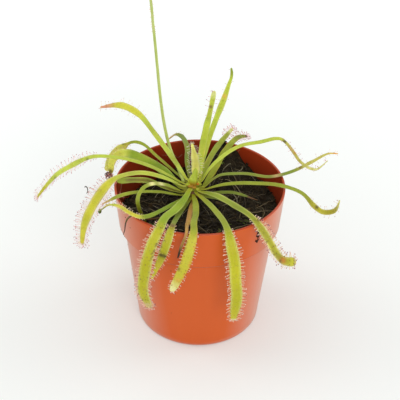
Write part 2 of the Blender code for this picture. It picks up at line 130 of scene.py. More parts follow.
class Shape:
    """Points and faces gathered for one mesh, with a slot for each face and a colour for each point."""

    def __init__(self):
        self.points = []
        self.colours = []
        self.faces = []
        self.places = []
        self.count = 0

    def add(self, points, faces, colour=(1.0, 1.0, 1.0), places=None):
        """faces is an array of equal-sided faces, or a list of (array, slot)."""
        points = np.asarray(points, float).reshape(-1, 3)
        for group, slot in faces if isinstance(faces, list) else [(faces, 0)]:
            self.faces.append((np.asarray(group, int) + self.count, slot))
        self.points.append(points)
        self.colours.append(np.broadcast_to(np.asarray(colour, float), points.shape))
        self.places.append(np.zeros((len(points), 2)) if places is None else places)
        self.count += len(points)

    def build(self, name, materials, replaces=()):
        """The object, riding on the root and standing for the CAD nodes that it replaces."""
        mesh = bpy.data.meshes.new(name)
        points = np.concatenate(self.points)
        corners = np.concatenate([group.ravel() for group, _ in self.faces])
        sizes = np.concatenate([np.full(len(group), group.shape[1]) for group, _ in self.faces])
        slots = np.concatenate([np.full(len(group), k) for group, k in self.faces])
        mesh.vertices.add(len(points))
        mesh.vertices.foreach_set("co", points.ravel())
        mesh.loops.add(len(corners))
        mesh.loops.foreach_set("vertex_index", corners)
        mesh.polygons.add(len(sizes))
        mesh.polygons.foreach_set("loop_start", np.concatenate([[0], np.cumsum(sizes)[:-1]]))
        mesh.polygons.foreach_set("material_index", slots)
        mesh.update(calc_edges=True)
        mesh.validate()
        mesh.shade_smooth()
        tint = mesh.color_attributes.new("tint", "FLOAT_COLOR", "POINT")
        colours = np.concatenate(self.colours)
        tint.data.foreach_set("color", np.column_stack([colours, np.ones(len(colours))]).ravel())
        layer = mesh.uv_layers.new(name="along")
        layer.data.foreach_set("uv", np.concatenate(self.places)[corners].ravel())
        for material in materials:
            mesh.materials.append(material)
        obj = linked(name, mesh)
        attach(obj, "root")
        if replaces:
            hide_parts(*replaces)
        return obj


def ring_faces(rings, sides):
    """Quads between rings of points, each closed on itself."""
    ring, side = np.meshgrid(np.arange(rings - 1), np.arange(sides), indexing="ij")
    low = ring * sides + side
    low_next = ring * sides + (side + 1) % sides
    return np.stack([low, low_next, low_next + sides, low + sides], axis=-1).reshape(-1, 4)


def cap_faces(ring_start, sides, tip, outward):
    """Triangles that close a ring to a single point."""
    side = np.arange(sides)
    first = ring_start + side
    second = ring_start + (side + 1) % sides
    tips = np.full(sides, tip)
    order = [first, second, tips] if outward else [second, first, tips]
    return np.stack(order, axis=-1)


def both_caps(rings, sides, flipped=False):
    """The triangles that close the first and the last ring to the two points after the rings."""
    count = rings * sides
    first = cap_faces(0, sides, count, flipped)
    last = cap_faces(count - sides, sides, count + 1, not flipped)
    return np.concatenate([first, last])


def loft(rings, start, end, flipped=False):
    """Points and faces of a solid through rings of points, closed at a start and an end point."""
    rings = np.asarray(rings, float)
    count, sides = rings.shape[:2]
    quads = ring_faces(count, sides)
    faces = [(quads[:, ::-1] if flipped else quads, 0), (both_caps(count, sides, flipped), 0)]
    return np.concatenate([rings.reshape(-1, 3), [start, end]]), faces


def loft_rows(rows, sides):
    """A value for each ring of a loft, as one for each of its points."""
    return with_ends(np.repeat(rows, sides, axis=0))


def with_ends(values):
    """Values for the points of a loft's rings, with those of its two end points."""
    values = np.asarray(values)
    return np.concatenate([values, values[:1], values[-1:]])


def circle_angles(sides):
    return np.arange(sides) * 2 * math.pi / sides


def tube(path, radii, sides):
    """Points and faces of a closed round tube along a path."""
    path = np.asarray(path, float)
    radii = np.broadcast_to(radii, (len(path),))
    tangents, across, out = carried_frames(path)
    angles = circle_angles(sides)
    circle = across[:, None] * np.cos(angles)[:, None] + out[:, None] * np.sin(angles)[:, None]
    start = path[0] - tangents[0] * radii[0] * 0.5
    end = path[-1] + tangents[-1] * radii[-1] * 0.5
    return loft(path[:, None] + circle * radii[:, None, None], start, end)


def carried_frames(path):
    """Tangents, and two directions across them that turn as little as possible along the path."""
    tangents = unit(np.gradient(path, axis=0))
    side = np.cross(tangents[0], np.eye(3)[np.argmin(np.abs(tangents[0]))])
    sides = []
    for tangent in tangents:
        side = side - tangent * (side @ tangent)
        side = side / np.linalg.norm(side)
        sides.append(side)
    sides = np.array(sides)
    return tangents, sides, np.cross(tangents, sides)


def lump_template():
    """Points and faces of a ball with a radius of 1."""
    work = bmesh.new()
    bmesh.ops.create_icosphere(work, subdivisions=2, radius=1.0)
    points = np.array([v.co for v in work.verts])
    faces = np.array([[v.index for v in f.verts] for f in work.faces])
    work.free()
    return points, faces


BALL, BALL_FACES = lump_template()


def spline(values, count):
    """Values at even stations, smoothly read at count stations (uniform Catmull-Rom)."""
    values = np.asarray(values, float)
    if values.ndim == 1:
        return spline(values[:, None], count)[:, 0]
    padded = np.concatenate([2 * values[:1] - values[1:2], values, 2 * values[-1:] - values[-2:-1]])
    at = np.linspace(0, len(values) - 1, count)
    index = np.minimum(at.astype(int), len(values) - 2)
    t = (at - index)[:, None]
    a, b, c, d = (padded[index + k] for k in range(4))
    return 0.5 * (2 * b + (c - a) * t + (2 * a - 5 * b + 4 * c - d) * t**2 + (3 * b - a - 3 * c + d) * t**3)


def evenly(points, count):
    """The same line, read at even steps along its length."""
    along = np.concatenate([[0.0], np.cumsum(np.linalg.norm(np.diff(points, axis=0), axis=1))])
    at = np.linspace(0, along[-1], count)
    return np.stack([np.interp(at, along, points[:, k]) for k in range(3)], axis=1)


def wander(rng, count, step, amount):
    """A smooth random curve of that many stations, with a knot every step stations."""
    knots = rng.normal(0.0, 1.0, max(4, count // step + 2))
    return spline(knots, count) * amount


# ---- reading the frame -----------------------------------------------------------------------


def cad_tree(*names):
    """A search tree over the faces of these CAD nodes."""
    points = []
    faces = []
    for name in names:
        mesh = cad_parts[name].data
        start = len(points)
        points += [v.co.copy() for v in mesh.vertices]
        faces += [tuple(start + v for v in p.vertices) for p in mesh.polygons]
    return BVHTree.FromPolygons(points, faces, epsilon=1e-7)


def cad_rings(name, sides, near):
    """The rings of points of a CAD strip, from its end nearest a point."""
    work = bmesh.new()
    work.from_mesh(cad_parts[name].data)
    bmesh.ops.remove_doubles(work, verts=work.verts, dist=1e-6)
    left = set(work.verts)
    ring = sorted(left, key=lambda v: (v.co - Vector(near)).length)[:sides]
    rings = []
    while ring:
        rings.append(np.array([v.co for v in ring]))
        left -= set(ring)
        reached = {e.other_vert(v) for v in ring for e in v.link_edges}
        ring = [v for v in left if v in reached]
    work.free()
    return rings


def strip_lines(name):
    """Middle line, side directions and half widths of a CAD strip that leaves the crown."""
    rings = cad_rings(name, STRIP_SIDES, CROWN)
    middles = np.array([r.mean(axis=0) for r in rings])
    offsets = [r - m for r, m in zip(rings, middles)]
    widest = np.array([o[np.argmax(np.linalg.norm(o, axis=1))] for o in offsets])
    for k in range(1, len(widest)):
        if widest[k] @ widest[k - 1] < 0:
            widest[k] = -widest[k]
    return middles, unit(widest), np.linalg.norm(widest, axis=1)


STRIP_SIDES = 6
crown_low, crown_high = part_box("crown")
CROWN = np.array([
    (crown_low.x + crown_high.x) / 2, (crown_low.y + crown_high.y) / 2, crown_high.z - 3.5 * MM,
])
OFF_EDGES = 1.7e-6  # keeps a ray off the exact edges between faces
POT_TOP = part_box("pot")[1].z
POT_TREE = cad_tree("pot")
SOIL_TREE = cad_tree("soil")
SOIL_READ = 38.6 * MM  # the bed's level is read no further out than this


def wall_radius(start, direction, height):
    """Where a level ray from this x, in this direction, meets the pot's wall."""
    place = Vector((start, OFF_EDGES, height + OFF_EDGES))
    return POT_TREE.ray_cast(place, Vector((direction, 0.0, 0.0)))[0].x


def outer_radius(height):
    return wall_radius(0.1, -1.0, height)


def inner_radius(height):
    return wall_radius(0.0, 1.0, height)


def soil_level(x, y):
    """Height of the CAD bed, read a little inside its edge where the point lies beyond it."""
    inside = min(1.0, SOIL_READ / max(math.hypot(x, y), 1e-9))
    start = Vector((x * inside + OFF_EDGES, y * inside + OFF_EDGES, 0.2))
    return SOIL_TREE.ray_cast(start, Vector((0.0, 0.0, -1.0)))[0].z


# ---- materials -------------------------------------------------------------------------------


def new_material(name, roughness, colour=None, **values):
    material = bpy.data.materials.new(name)
    material.use_nodes = True
    shader = material.node_tree.nodes["Principled BSDF"]
    shader.inputs["Roughness"].default_value = roughness
    if colour is not None:
        shader.inputs["Base Color"].default_value = (*linear(colour), 1.0)
    for label, value in values.items():
        shader.inputs[label.replace("_", " ")].default_value = value
    return material, material.node_tree, shader


def node(tree, kind, inputs=None, **settings):
    made = tree.nodes.new("ShaderNode" + kind)
    for label, value in settings.items():
        setattr(made, label, value)
    for label, value in (inputs or {}).items():
        if isinstance(value, bpy.types.NodeSocket):
            tree.links.new(value, made.inputs[label])
        else:
            made.inputs[label].default_value = value
    return made


def computed(tree, operation, *values):
    return node(tree, "Math", dict(enumerate(values)), operation=operation).outputs[0]


def noise_map(tree, scale, detail=3.0, roughness=0.55, stretch=None):
    """A noise value over the object, with features about 1/scale metres across."""
    place = node(tree, "TexCoord").outputs["Object"]
    if stretch:
        place = node(tree, "Mapping", {"Vector": place, "Scale": stretch}).outputs["Vector"]
    made = node(tree, "TexNoise", {"Vector": place, "Scale": scale, "Detail": detail, "Roughness": roughness})
    return made.outputs["Fac"]


def ramp(tree, value, low, high, to_low=0.0, to_high=1.0):
    made = node(tree, "MapRange", {
        "Value": value, "From Min": low, "From Max": high, "To Min": to_low, "To Max": to_high,
    })
    return made.outputs["Result"]


def mixed(tree, factor, first, second, mode="MIX"):
    made = node(tree, "Mix", data_type="RGBA", blend_type=mode)
    for socket, value in ((made.inputs[0], factor), (made.inputs[6], first), (made.inputs[7], second)):
        if isinstance(value, bpy.types.NodeSocket):
            tree.links.new(value, socket)
        else:
            socket.default_value = (*value, 1.0)
    return made.outputs[2]


def shaded(tree, colour, value, low, high, shade, most=1.0):
    """The colour multiplied by a shade, as much as most, where the value rises from low to high."""
    return mixed(tree, ramp(tree, value, low, high, 0.0, most), colour, shade, "MULTIPLY")


def covered(tree, colour, value, low, high, cover, most):
    """The colour with another over it, as much as most, where the value rises from low to high."""
    return mixed(tree, ramp(tree, value, low, high, 0.0, most), colour, linear(cover))


def tinted_material(name, roughness, specular):
    """A material with its tree and shader, and the tint that its meshes carry."""
    material, tree, shader = new_material(name, roughness, Specular_IOR_Level=specular)
    return material, tree, shader, node(tree, "VertexColor", layer_name="tint").outputs["Color"]


def finish(tree, shader, colour, roughness, *bumps):
    """Links the colour and the roughness, and bumps as (height, depth in mm), one on top of another."""
    tree.links.new(colour, shader.inputs["Base Color"])
    tree.links.new(roughness, shader.inputs["Roughness"])
    inputs = {}
    for height, depth in bumps:
        inputs.update({"Height": height, "Distance": depth * MM, "Strength": 1.0})
        inputs["Normal"] = node(tree, "Bump", inputs).outputs["Normal"]
    tree.links.new(inputs["Normal"], shader.inputs["Normal"])


def leaf_material():
    """Painted tint with mottling, fine veins along the blade, tiny pits and a waxy shine."""
    material, tree, shader, tint = tinted_material("leaf_tissue", 0.42, 0.28)
    place = node(tree, "UVMap", uv_map="along").outputs["UV"]
    across = node(tree, "SeparateXYZ", {"Vector": place}).outputs["X"]
    veins = computed(tree, "ADD", computed(tree, "MULTIPLY", across, 9.0), noise_map(tree, 160.0, 2.0))
    wave = computed(tree, "SINE", veins)
    mottle = noise_map(tree, 900.0, 4.0, 0.65)
    blotch = noise_map(tree, 150.0, 3.0, 0.5)
    darker = shaded(tree, tint, mottle, 0.42, 0.70, (0.88, 0.92, 0.72))
    warmer = shaded(tree, darker, blotch, 0.50, 0.76, (1.02, 0.92, 0.66), 0.5)
    veined = shaded(tree, warmer, wave, 0.2, 1.0, (1.12, 1.10, 1.02), 0.30)
    shader.inputs["Subsurface Weight"].default_value = 0.18
    shader.inputs["Subsurface Radius"].default_value = (0.9, 1.0, 0.35)
    shader.inputs["Subsurface Scale"].default_value = 0.8 * MM
    finish(tree, shader, veined, ramp(tree, mottle, 0.3, 0.7, 0.34, 0.56), (wave, 0.03), (mottle, 0.12))
    return material


def stem_material():
    """Painted tint with lengthwise streaks, for the stalk, the buds and the crown."""
    material, tree, shader, tint = tinted_material("stem_tissue", 0.46, 0.4)
    streaks = noise_map(tree, 700.0, 3.0, 0.6, (1.0, 1.0, 0.12))
    mottle = noise_map(tree, 1100.0, 4.0, 0.6)
    darker = shaded(tree, tint, streaks, 0.40, 0.70, (0.70, 0.74, 0.50))
    finish(tree, shader, darker, ramp(tree, mottle, 0.3, 0.7, 0.36, 0.60), (streaks, 0.10), (mottle, 0.05))
    return material


def peat_material():
    """Near-black damp peat with brown specks and a broken surface."""
    material, tree, shader, tint = tinted_material("damp_peat", 0.8, 0.2)
    clods = noise_map(tree, 260.0, 6.0, 0.7)
    grain = noise_map(tree, 1500.0, 4.0, 0.7)
    specks = noise_map(tree, 2600.0, 2.0, 0.5)
    dark = shaded(tree, tint, clods, 0.35, 0.65, (0.22, 0.21, 0.22))
    brown = covered(tree, dark, grain, 0.56, 0.72, (78, 64, 28), 0.8)
    pale = covered(tree, brown, specks, 0.70, 0.76, (146, 138, 96), 0.6)
    finish(tree, shader, pale, ramp(tree, clods, 0.3, 0.7, 0.55, 0.95), (clods, 1.2), (grain, 0.5))
    return material


def fibre_material():
    """Painted tint with fine streaks, for roots, bark threads and moss."""
    material, tree, shader, tint = tinted_material("plant_fibre", 0.7, 0.5)
    streaks = noise_map(tree, 1800.0, 3.0, 0.6)
    streaky = shaded(tree, tint, streaks, 0.35, 0.7, (0.62, 0.58, 0.52))
    finish(tree, shader, streaky, ramp(tree, streaks, 0.3, 0.7, 0.5, 0.85), (streaks, 0.08))
    return material


# The pot's painted sheen: a pale reflection of the white surroundings, mixed into the colour at grazing
# angles
SHEEN = (232, 200, 186)
SHEEN_RISE = (0.42, 0.98)
SHEEN_FROM_RED = (0.52, 0.66)  # keeps the painted sheen off the darker, less red tints: the painted shade inside, at the ledge and on the lip
SHEEN_STRENGTH = 0.68


def pot_material():
    """Moulded plastic: satin outside with faint flow marks and scuffs, and a painted sheen where the surface
    turns from view, kept off the darker tints.
    """
    material, tree, shader, tint = tinted_material("terracotta_plastic", 0.34, 0.32)
    flow = noise_map(tree, 60.0, 4.0, 0.55, (1.0, 1.0, 0.25))
    scuffs = noise_map(tree, 420.0, 5.0, 0.7, (1.0, 1.0, 0.18))
    dust = noise_map(tree, 1900.0, 3.0, 0.6)
    uneven = shaded(tree, tint, flow, 0.35, 0.7, (0.90, 0.86, 0.82), 0.35)
    scuffed = covered(tree, uneven, scuffs, 0.62, 0.80, (222, 136, 92), 0.18)
    dusty = covered(tree, scuffed, dust, 0.70, 0.80, (150, 84, 54), 0.35)
    # painted sheen: the colour turns pale where the surface turns from view, except on the darker tints
    grazing = node(tree, "LayerWeight", {"Blend": 0.5}).outputs["Facing"]
    red = node(tree, "SeparateColor", {"Color": tint}).outputs["Red"]
    painted_sheen = ramp(tree, grazing, *SHEEN_RISE, 0.0, SHEEN_STRENGTH)
    share = computed(tree, "MULTIPLY", ramp(tree, red, *SHEEN_FROM_RED), painted_sheen)
    hazy = mixed(tree, share, dusty, linear(SHEEN))
    finish(tree, shader, hazy, ramp(tree, scuffs, 0.35, 0.75, 0.28, 0.46), (flow, 0.06), (scuffs, 0.015))
    return material


LEAF_TISSUE = leaf_material()
STEM_TISSUE = stem_material()
PEAT = peat_material()
FIBRE = fibre_material()
POT_PLASTIC = pot_material()
DEW = new_material("dew", 0.02, (255, 255, 255), Transmission_Weight=1.0, IOR=1.33)[0]
PLAIN_TISSUES = (
    # name, colour and roughness
    ("hair_pale", (246, 236, 180), 0.35), ("hair_pink", (250, 222, 196), 0.35),
    ("hair_rose", (240, 176, 166), 0.35), ("hair_red", (226, 130, 128), 0.35),
    ("hair_white", (248, 246, 222), 0.35), ("hair_dead", (104, 74, 68), 0.5),
    ("gland_rose", (240, 196, 176), 0.22), ("gland_red", (204, 84, 88), 0.22),
    ("gland_dark", (150, 84, 100), 0.22), ("face_hair", (226, 220, 110), 0.35),
    ("face_gland", (204, 184, 80), 0.25), ("face_dot", (124, 84, 50), 0.3),
)
TISSUES = {name: new_material(name, rough, colour)[0] for name, colour, rough in PLAIN_TISSUES}


# ---- pot -------------------------------------------------------------------------------------

POT_SEGMENTS = 160
POT_OUTSIDE = (219, 97, 36)
# Ledge and lip: painted shade at the collar's step and on the lip, whose darker tints also keep the painted
# sheen off
POT_LEDGE = (196, 84, 30)
POT_RIM = (176, 66, 26)
# Inside colours: painted shade inside the pot, darkest low down
POT_INSIDE_LOW = (122, 43, 18)
POT_INSIDE_HIGH = (158, 52, 20)
INSIDE_SHADE_ENDS = (0.72, 1.0)  # shares of the pot's height over which the painted shade inside lifts
RIM_REACH = 0.55 * MM
POT_STEP = 62.0 * MM
LEDGE_REACH = 0.9 * MM
FLOOR_TOP = 1.6 * MM
LIP_POINTS = 9
FOOT_HEIGHTS = (0.25, 0.6, 1.4)  # mm
WALL_HEIGHTS = ((4.0, 59.0, 3.0), (60.5, 63.6, 0.2), (65.0, 83.5, 2.5))  # from, to and step in mm
UNDER_SHARES = (0.15, 0.35, 0.9)  # of the base's radius
DRAIN_HOLES = 6
DRAIN_RADIUS = 3.4 * MM
DRAIN_CIRCLE = 21.0 * MM
DRAIN_DEPTH = 6.0 * MM


def pot_heights():
    """Heights for the wall's profile, closer together at the base edge and at the collar's step."""
    heights = [z * MM for z in FOOT_HEIGHTS]
    for band in WALL_HEIGHTS:
        heights += list(np.arange(*band) * MM)
    return heights + [POT_TOP - 0.6 * MM]


def pot_profile():
    """(radius, height) from the middle of the underside, over the lip and down to the floor, and where
    the inside starts."""
    heights = pot_heights()
    outside = [(outer_radius(z), z) for z in heights]
    inside = [(inner_radius(z), z) for z in reversed(heights) if z > FLOOR_TOP + 0.2 * MM]
    lip_out, lip_in = outside[-1][0], inside[0][0]
    middle = (lip_out + lip_in) / 2
    half = (lip_out - lip_in) / 2
    lip_base = POT_TOP - half
    lip = []
    for angle in np.linspace(0, math.pi, LIP_POINTS):
        lip.append((middle + half * math.cos(angle), lip_base + half * math.sin(angle)))
    base = outside[0][0]
    under = [(base * k, 0.0) for k in UNDER_SHARES] + [(base - 0.3 * MM, 0.05 * MM)]
    foot = inside[-1][0]
    floor = [(foot - 0.2 * MM, FLOOR_TOP), (foot * 0.9, FLOOR_TOP), (foot * 0.3, FLOOR_TOP)]
    first_inside = len(under) + len(outside) + LIP_POINTS // 2 - 1
    return under + outside[:-1] + lip + inside[1:] + floor, first_inside


def pot_colours(heights, inside):
    """A colour for each height: terracotta, with painted shade at the ledge, on the rim and inside, where it
    lifts toward the top.
    """
    colours = np.tile(linear(POT_OUTSIDE), (len(heights), 1))
    # painted shade inside, lifting toward the rim
    shade_lift = smoothstep(*INSIDE_SHADE_ENDS, heights / POT_TOP)[:, None]
    wall = linear(POT_INSIDE_LOW) * (1 - shade_lift) + linear(POT_INSIDE_HIGH) * shade_lift
    colours[inside] = wall[inside]
    # painted shade at the collar's step and on the lip
    colours[(np.abs(heights - POT_STEP) < LEDGE_REACH) & ~inside] = linear(POT_LEDGE)
    colours[heights > POT_TOP - RIM_REACH] = linear(POT_RIM)
    return colours


def build_pot():
    profile, first_inside = pot_profile()
    radii, heights = np.array(profile).T
    angles = circle_angles(POT_SEGMENTS)
    x, y = radii[:, None] * np.cos(angles), radii[:, None] * np.sin(angles)
    rings = np.stack([x, y, np.repeat(heights[:, None], POT_SEGMENTS, 1)], axis=-1)
    colours = pot_colours(heights, np.arange(len(profile)) >= first_inside)
    shape = Shape()
    points, faces = loft(rings, (0.0, 0.0, 0.0), (0.0, 0.0, heights[-1]))
    shape.add(points, faces, colour=loft_rows(colours, POT_SEGMENTS))
    cut_drain_holes(shape.build("nursery_pot", [POT_PLASTIC], replaces=["pot"]))


def cut_drain_holes(pot):
    work = bmesh.new()
    for k in range(DRAIN_HOLES):
        place = Vector(around(DRAIN_CIRCLE, TURN * (k + 0.5) / DRAIN_HOLES))
        bmesh.ops.create_cone(
            work, cap_ends=True, segments=32, radius1=DRAIN_RADIUS, radius2=DRAIN_RADIUS,
            depth=DRAIN_DEPTH, matrix=Matrix.Translation(place),
        )
    mesh = bpy.data.meshes.new("drain_cutters")
    work.to_mesh(mesh)
    work.free()
    cutter = linked("drain_cutters", mesh)
    cut = pot.modifiers.new("drain_holes", "BOOLEAN")
    cut.operation = "DIFFERENCE"
    cut.object = cutter
    bpy.context.view_layer.objects.active = pot
    bpy.ops.object.modifier_apply(modifier=cut.name)
    bpy.data.objects.remove(cutter)


# ---- peat ------------------------------------------------------------------------------------

SOIL_COLUMNS = 200
SOIL_RINGS = 64
SOIL_SKIRT = (2.0, 30.0, 56.0, 60.5, 61.5)  # heights in mm of the rings down the inside of the wall
SOIL_COLOUR = (48, 39, 20)
SKIRT_GAP = 0.35 * MM  # between the skirt and the wall
EDGE_GAP = 0.3 * MM
EDGE_READ = 42 * MM  # where the bed's level at the wall is taken
EDGE_RISE = 0.5 * MM  # how far the peat creeps up the wall
EDGE_BELOW_RIM = 2 * MM
CLODS = ((1.1 * MM, 160.0, 3.1), (0.35 * MM, 620.0, 8.7))  # height, lumps a metre and seed
BANK_PLACE = (13.5, 40.0)  # mm
BANK_HEIGHT = 6.5
BANK_SPREAD = 7.5
CRUMBS = 620
WALL_CRUMB = 5  # every so many crumbs, one lies against the wall
CRUMB_REACH = 41.0 * MM
WALL_CRUMB_REACH = 41.2 * MM
CRUMB_SIZES = (0.45, 1.5)  # mm
WALL_CRUMB_SHARE = 0.7  # of a crumb's size, along the wall
WALL_CRUMB_LIFT = 3.0  # mm, at most
CRUMB_COLOURS = ((42, 36, 22), (60, 50, 28), (84, 66, 38), (30, 25, 18), (108, 92, 58))
CRUMB_CHANCES = (0.36, 0.30, 0.14, 0.16, 0.04)
SMEAR_ANGLE = -48.0  # degrees round the pot
SMEAR_HEIGHTS = (71.5, 83.0)  # mm
SMEAR_CRUMBS = 34
SMEAR_SIZES = (0.3, 0.75)
COLLAR_SPECKS = 12
COLLAR_SPECK_ANGLES = (185.0, 250.0)
COLLAR_SPECK_HEIGHTS = (20, 80)
COLLAR_SPECK_SIZES = (0.18, 0.34)
SMEAR_COLOUR = (52, 36, 26)
WALL_ROOTS = (
    # start and span in degrees round the pot, height and rise along it in mm
    (104, 16, 76, 2.5), (96, -12, 75, 3.0), (122, 12, 75, -1.5), (142, 14, 74, 3.0),
    (168, 12, 77, -2.0), (60, 10, 80, 1.0), (196, 9, 76, 2.0),
)
ROOT_STEPS = 16
WALL_ROOT_RADIUS = 0.16 * MM
WALL_ROOT_GAP = 0.25 * MM
WALL_ROOT_COLOUR = (170, 122, 92)
FIBRES = 420
FIBRE_REACH = 40.0 * MM
FIBRE_TURNS_BACK = 40.5 * MM  # past this it turns, and moves in by a share at each step
FIBRE_TURN = 0.9
FIBRE_MOVES_IN = 0.985
FIBRE_STEP = 1.1 * MM
FIBRE_ABOVE = 0.25 * MM
FIBRE_LENGTHS = (4, 17)  # mm
FIBRE_RADII = (0.09, 0.30)  # mm
FIBRE_COLOURS = ((52, 42, 24), (72, 60, 34), (98, 86, 54), (150, 144, 116), (36, 29, 19))
FIBRE_CHANCES = (0.34, 0.28, 0.18, 0.08, 0.12)
PALE_ROOTS = (
    # x, y, heading, length, lift in mm, half thickness: one up the heap, others at the right and left
    (23, 14, 1.9, 16, 1.2, 0.28), (30, 2, 0.2, 15, 0.8, 0.22), (24, -2, -0.3, 18, 1.2, 0.24),
    (33, -8, 0.9, 12, 1.0, 0.20), (-22, -3, 2.6, 14, 1.6, 0.22), (16, -20, 0.3, 12, 1.6, 0.26),
    (22, -26, 0.8, 11, 1.4, 0.24), (6, -24, 2.2, 12, 1.0, 0.20), (-8, -20, 2.8, 12, 1.0, 0.20),
)
PALE_ROOT_COLOUR = (150, 138, 104)
MOSS_TUFTS = (
    # x, y, how many sprigs, and their spread in mm
    (14, -20, 46, 3.2), (25, -12, 20, 2.2), (8, 30, 18, 2.5), (-24, -16, 16, 2.2),
)
MOSS_LENGTHS = (1.6, 4.2)
MOSS_RADII = (0.18, 0.34)
MOSS_COLOUR = (112, 134, 44)


def clod(x, y, scale, seed):
    return noise.fractal(Vector((x * scale, y * scale, seed)), 0.8, 2.1, 4)


def surface_height(x, y):
    """The bed's fine surface: the CAD level, loose peat banked up to the rim, and lumps and pits."""
    away = math.hypot(x / MM - BANK_PLACE[0], y / MM - BANK_PLACE[1]) / BANK_SPREAD
    bank = BANK_HEIGHT * MM * math.exp(-away * away)
    lumps = sum(height * clod(x, y, scale, seed) for height, scale, seed in CLODS)
    return soil_level(x, y) + bank + lumps


def build_soil():
    """The bed of peat, closed down the inside of the wall and below the step in it."""
    angles = circle_angles(SOIL_COLUMNS)
    rings = []
    for level in SOIL_SKIRT:
        radius = inner_radius(level * MM) - SKIRT_GAP
        rings.append([around(radius, a, level * MM) for a in angles])
    edge = []
    for a in angles:
        x, y, _ = around(EDGE_READ, a)
        height = min(surface_height(x, y) + EDGE_RISE, POT_TOP - EDGE_BELOW_RIM)
        edge.append(around(inner_radius(height) - EDGE_GAP, a, height))
    rings.append(edge)
    for ring in range(SOIL_RINGS - 1, 0, -1):
        share = (ring / SOIL_RINGS) ** 0.9
        rings.append([(x * share, y * share, surface_height(x * share, y * share)) for x, y, _ in edge])
    shape = Shape()
    points, faces = loft(rings, (0, 0, SOIL_SKIRT[0] * MM), (0, 0, surface_height(0, 0)))
    shape.add(points, faces, colour=linear(SOIL_COLOUR))
    shape.build("peat_bed", [PEAT], replaces=["soil"])


def build_crumbs():
    """Loose crumbs of peat on the bed, every fifth of them along the wall."""
    rng = seeded("crumbs")
    shape = Shape()
    for k in range(CRUMBS):
        at_wall = k % WALL_CRUMB == 0
        reach = CRUMB_REACH * math.sqrt(rng.random())
        x, y, _ = around(WALL_CRUMB_REACH if at_wall else reach, rng.uniform(0, TURN))
        size = rng.uniform(*CRUMB_SIZES) * MM * (WALL_CRUMB_SHARE if at_wall else 1.0)
        rough = 1 + 0.32 * np.sin(BALL @ rng.normal(0, 2.6, 3) + rng.uniform(0, 6))
        rough = rough + rng.uniform(-0.12, 0.12, len(BALL))
        lump = BALL * rough[:, None] * np.array([1.0, rng.uniform(0.5, 1.0), rng.uniform(0.4, 0.8)]) * size
        spun = lump @ np.array(Matrix.Rotation(rng.uniform(0, TURN), 3, "Z"))
        lift = rng.uniform(0.0, WALL_CRUMB_LIFT) * MM if at_wall else 0.0
        place = np.array([x, y, surface_height(x, y) + lift + 0.2 * size])
        colour = CRUMB_COLOURS[rng.choice(len(CRUMB_COLOURS), p=CRUMB_CHANCES)]
        shape.add(spun + place, BALL_FACES, colour=linear(colour))
    shape.build("peat_crumbs", [PEAT])


def build_collar_smear():
    """Peat stuck to the outside: a trickle down the collar at the front right, specks at the left."""
    rng = seeded("smear")
    shape = Shape()
    spots = [(SMEAR_ANGLE + rng.normal(0, 0.9), rng.uniform(*SMEAR_HEIGHTS), rng.uniform(*SMEAR_SIZES))
             for _ in range(SMEAR_CRUMBS)]
    ranges = (COLLAR_SPECK_ANGLES, COLLAR_SPECK_HEIGHTS, COLLAR_SPECK_SIZES)
    spots += [tuple(rng.uniform(*ends) for ends in ranges) for _ in range(COLLAR_SPECKS)]
    for degrees, height, size in spots:
        place = around(outer_radius(height * MM), math.radians(degrees), height * MM)
        lump = BALL * (1 + rng.uniform(-0.2, 0.2, len(BALL)))[:, None] * size * MM * np.array([0.8, 0.8, 1.2])
        shape.add(lump + place, BALL_FACES, colour=linear(SMEAR_COLOUR))
    shape.build("collar_peat", [PEAT])


def build_wall_roots():
    """Thin pale roots that cling to the inside of the wall at the back and the left."""
    rng = seeded("wall_roots")
    shape = Shape()
    for start, span, height, drift in WALL_ROOTS:
        sway = wander(rng, ROOT_STEPS, 4, 0.8)
        path = []
        for part, away in zip(np.linspace(0, 1, ROOT_STEPS), sway):
            z = (height + drift * part + away) * MM
            path.append(around(inner_radius(z) - WALL_ROOT_GAP, math.radians(start + span * part), z))
        points, faces = tube(path, WALL_ROOT_RADIUS * np.linspace(1, 0.5, ROOT_STEPS), 4)
        shape.add(points, faces, colour=linear(WALL_ROOT_COLOUR))
    shape.build("wall_roots", [FIBRE])


def fibre_path(rng, x, y, length, heading, curl, lift):
    """A thin strand that starts at a point on the bed and wanders over it."""
    steps = max(6, int(length / FIBRE_STEP))
    path = []
    for k in range(steps + 1):
        share = k / steps
        rise = lift * math.sin(math.pi * share)
        path.append((x, y, surface_height(x, y) + FIBRE_ABOVE + rise))
        heading += curl / steps + rng.normal(0, 0.16)
        x += length / steps * math.cos(heading)
        y += length / steps * math.sin(heading)
        if math.hypot(x, y) > FIBRE_TURNS_BACK:
            heading += FIBRE_TURN
            x *= FIBRE_MOVES_IN
            y *= FIBRE_MOVES_IN
    return np.array(path)


def build_fibres():
    """Roots, bark threads and stalks in the peat, most of them brown and a few pale."""
    rng = seeded("fibres")
    shape = Shape()
    for _ in range(FIBRES):
        reach = FIBRE_REACH * math.sqrt(rng.random())
        x, y, _ = around(reach, rng.uniform(0, TURN))
        length = rng.uniform(*FIBRE_LENGTHS) * MM
        heading, curl, lift = rng.uniform(0, TURN), rng.normal(0, 1.2), abs(rng.normal(0, 0.9)) * MM
        path = fibre_path(rng, x, y, length, heading, curl, lift)
        radii = rng.uniform(*FIBRE_RADII) * MM * (1 - 0.6 * np.linspace(0, 1, len(path)) ** 2)
        points, faces = tube(path, radii, 4)
        colour = FIBRE_COLOURS[rng.choice(len(FIBRE_COLOURS), p=FIBRE_CHANCES)]
        shape.add(points, faces, colour=linear(colour))
    shape.build("peat_fibres", [FIBRE])


